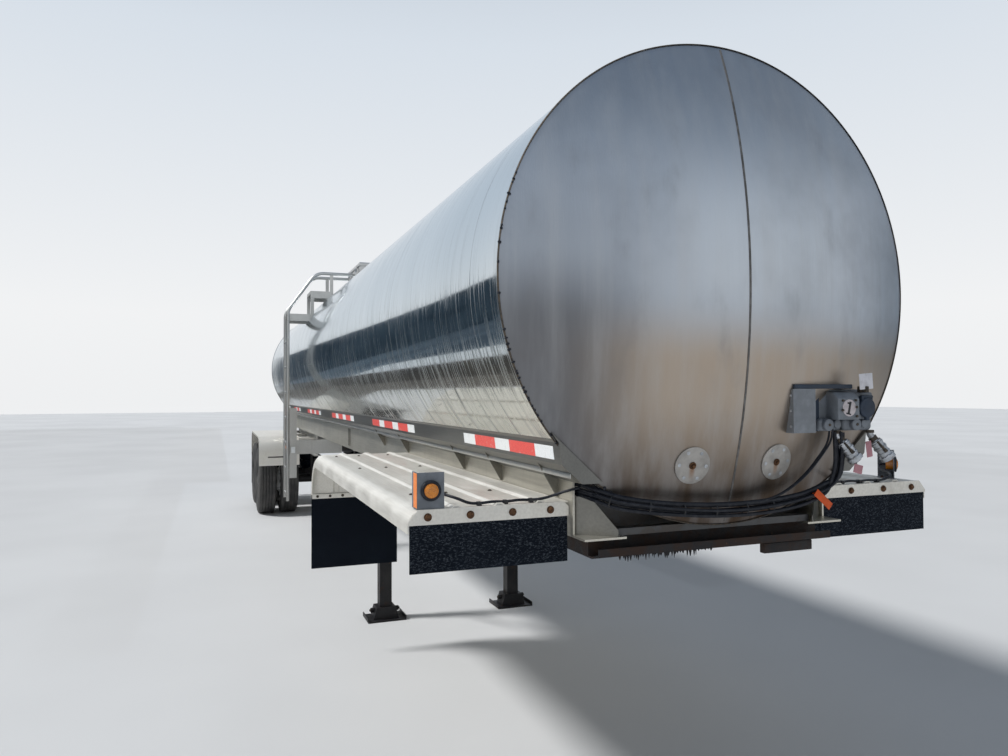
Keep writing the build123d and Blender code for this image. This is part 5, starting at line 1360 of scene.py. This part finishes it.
def makeTyres():
    for number, x in enumerate(wheel["axles"], start=1):
        for word, side in (("left", 1), ("right", -1)):
            body = f"wheel_{number}_{word}"
            label = f"{number}{word.title()}"
            reaches = (wheel["track"] - wheel["offset"], wheel["track"] + wheel["offset"])
            pair = repeat(tyreSample(), [Matrix.Translation((x, side * y, wheel["axisZ"])) for y in reaches])
            finishPiece(pair, "tyrePair" + label, "tyre", body=body, smooth=32, hides=[body + "_tyres"])
            spots = boltRing(x, side, wheel["nutFace"], wheel["nutCircle"], wheel["nuts"], 0.5)
            nuts = repeat(boltSample(*wheel["nut"]), spots)
            finishPiece(nuts, "wheelNuts" + label, "rust", body=body)
            spots = boltRing(x, side, wheel["capReach"], wheel["capCircle"], wheel["caps"])
            caps = repeat(boltSample(*wheel["cap"]), spots)
            finishPiece(caps, "capBolts" + label, "bolt", body=body)


# Landing gear, ladder, manhole lid

stand = {
    "x": 2.234, "legY": 0.572, "half": 0.0635, "shaftZ": 1.09, "boltZ": (0.56, 0.72, 1.18, 1.26), "boltY": 0.035,
    "pinY": 0.118, "pinZ": 0.074, "boxReach": 0.046, "boxBolt": 0.055, "bolt": (0.02, 0.009, 0.027),
    "crankY": 0.7335, "crankZ": 0.8, "grip": (0.045, 0.112), "gripRadius": 0.0165,
    "shoeY": 0.158, "shoeHalf": 0.12, "lipHalf": 0.004, "lipZ": (0.004, 0.036),
}


def makeStandTrim():
    spots, lips = [], []
    x = stand["x"]
    for side in (-1, 1):
        y = side * stand["legY"]
        for z in stand["boltZ"]:
            for step in (-stand["boltY"], stand["boltY"]):
                spots.append(facingLoose((x + stand["half"], y + step, z), (1, 0, 0)))
        for edge in (-1, 1):
            spots.append(facing((x, y + edge * stand["pinY"], stand["pinZ"]), (0, edge, 0)))
    face, reach = stand["legY"] + stand["half"] + stand["boxReach"], stand["boxBolt"]
    for along, up in ((-1, -1), (1, -1), (1, 1), (-1, 1)):
        spots.append(facing((x + along * reach, face, stand["shaftZ"] + up * reach), (0, 1, 0)))
    finishPiece(repeat(boltSample(*stand["bolt"]), spots), "standBolts", "bolt")
    start, end = ((x, stand["crankY"] + reach, stand["crankZ"]) for reach in stand["grip"])
    finishPiece(rod(start, end, stand["gripRadius"], 28, 0.003), "crankGrip", "jacket")
    shoe, half = stand["shoeHalf"], stand["lipHalf"]
    low, high = stand["lipZ"]
    for side in (-1, 1):
        for edge in (-1, 1):
            y = side * stand["legY"] + edge * stand["shoeY"]
            lips.append(slab((x - shoe, y - half, low), (x + shoe, y + half, high), edge=0.003))
    finishPiece(lips, "shoeLips", "black")


ladder = {
    "x": -0.956, "treads": ((1.095, 0.841, 2.86), (0.841, 0.612, 3.144)), "rows": 4, "columns": 9, "pitch": 0.04,
    "stagger": 0.012, "edge": 0.03, "stud": (0.008, 0.0022),
    "lens": ((-0.033, -1.1102, 1.23), (0.033, -1.1022, 1.262)), "lensEdge": 0.005,
    "plate": ((0.214, -1.0657, 1.19), (0.2155, -1.0207, 1.265)), "plateEdge": 0.0005,
}


def besideLadder(corners):
    return [(ladder["x"] + x, y, z) for x, y, z in corners]


def makeLadderTrim():
    studs = []
    rows, pitch, edge = ladder["rows"], ladder["pitch"], ladder["edge"]
    for outer, inner, z in ladder["treads"]:
        for row in range(rows):
            for column in range(ladder["columns"]):
                x = ladder["x"] + (column - (ladder["columns"] - 1) / 2) * pitch + (row % 2) * ladder["stagger"]
                y = -(outer - edge - row * (outer - inner - 2 * edge) / (rows - 1))
                studs.append(facing((x, y, z), (0, 0, 1)))
    finishPiece(repeat(rivetSample(*ladder["stud"]), studs), "treadStuds", "zinc")
    lens = slab(*besideLadder(ladder["lens"]), edge=ladder["lensEdge"], steps=3)
    finishPiece(lens, "sideLampLens", "tapeOrange")
    plain = slab(*besideLadder(ladder["plate"]), edge=ladder["plateEdge"])
    finishPiece(plain, "bareReflector", "tapeWhite")


hatch = {
    "x": -0.756, "halfY": 0.332, "lowZ": 3.415, "topZ": 3.455, "latches": (-0.25, 0.25), "latchY": 0.337,
    "hook": (0.012, 0.014, -0.06, -0.012), "handle": (0.016, 0.012, -0.02, 0.006),
    "ribs": (-0.2, 0.2), "ribHalf": 0.012, "ribThick": 0.001, "ribEnd": 0.05,
}


def makeHatchTrim():
    latches, ribs = [], []
    y, z = -hatch["latchY"], hatch["lowZ"]
    for spot in hatch["latches"]:
        x = hatch["x"] + spot
        half, deep, low, high = hatch["hook"]
        latches.append(slab((x - half, y - deep, z + low), (x + half, y, z + high), edge=0.003))
        half, deep, level, radius = hatch["handle"]
        latches.append(rod((x - half, y - deep, z + level), (x + half, y - deep, z + level), radius, 16, 0.001))
    finishPiece(latches, "lidLatches", "zinc", body="manhole_lid")
    half, reach, top = hatch["ribHalf"], hatch["halfY"] - hatch["ribEnd"], hatch["topZ"]
    for spot in hatch["ribs"]:
        x = hatch["x"] + spot
        ribs.append(slab((x - half, -reach, top - hatch["ribThick"]), (x + half, reach, top), edge=0.0004))
    finishPiece(ribs, "lidRibs", "cabinet", body="manhole_lid")


# Rear

rear = {
    "lampX": -6.204, "lampZ": 0.92, "lampY": (0.64, 1.23), "lampsEachSide": 3, "lampRadius": 0.05,
    "dome": ((1.0, 0.0), (1.0, 0.004), (0.9, 0.008), (0.5, 0.0105), (0.0, 0.0115)),
    "lip": ((0.0505, -0.016), (0.0505, 0.003), (0.054, 0.005), (0.059, 0.002), (0.059, -0.016)),
    "tapeX": (-6.2458, -6.2448), "tapeZ": (0.525, 0.575), "tapeReach": 1.07, "lastStart": 0.9, "tapeGap": 0.001,
    "tapeEdge": 0.0003,
}


def makeRearTrim():
    lenses, rings, whites, reds = [], [], [], []
    inner, outer = rear["lampY"]
    dome = [(rear["lampRadius"] * share, rise) for share, rise in rear["dome"]]
    for side in (-1, 1):
        for index in range(rear["lampsEachSide"]):
            y = side * (inner + (outer - inner) * (index + 0.5) / rear["lampsEachSide"])
            place = facing((rear["lampX"], y, rear["lampZ"]), (-1, 0, 0))
            lenses.append(lathed(dome, place))
            rings.append(lathed(rear["lip"], place))
    finishPiece(lenses, "tailLenses", "red", smooth=50)
    finishPiece(rings, "tailGrommets", "jacket", smooth=50)
    (back, face), (low, high) = rear["tapeX"], rear["tapeZ"]
    y, gap = -rear["tapeReach"], rear["tapeGap"]
    strips, length, others, otherLength = reds, tape["red"], whites, tape["white"]
    while y < rear["lastStart"]:
        end = min(y + length, rear["tapeReach"])
        strips.append(slab((back, y + gap, low), (face, end - gap, high), edge=rear["tapeEdge"], steps=1))
        strips, length, others, otherLength = others, otherLength, strips, length
        y = end
    finishPiece(whites, "bumperWhite", "tapeWhite")
    finishPiece(reds, "bumperRed", "tapeRed")


bpy.context.scene.view_settings.view_transform = "Standard"
for stage, steps in (
    ("studio ready", (makeCamera, makeFloor, makeLights, makeFlags)),
    ("tank dressed", (makeTankShell, makeHeads, makeCovers, makeRimLine, makeSideTape)),
    ("frame and fenders dressed", (makeFrameTrim, makeCouplerTrim, makeFenderTrim, makeMarkers)),
    ("nose box dressed", (makeNoseBox, makeBoxBracket, makeNumberPlate, makeSocketCover, makeBoxHood)),
    ("gladhands and tags dressed", (makeGladhandTrim, makeNoseTags)),
    ("cables laid", (makeCables, makeLampWires)),
    ("wheels dressed", (makeTyres,)),
    ("stand, ladder and rear dressed", (makeStandTrim, makeLadderTrim, makeHatchTrim, makeRearTrim)),
):
    for step in steps:
        step()
    print(stage)
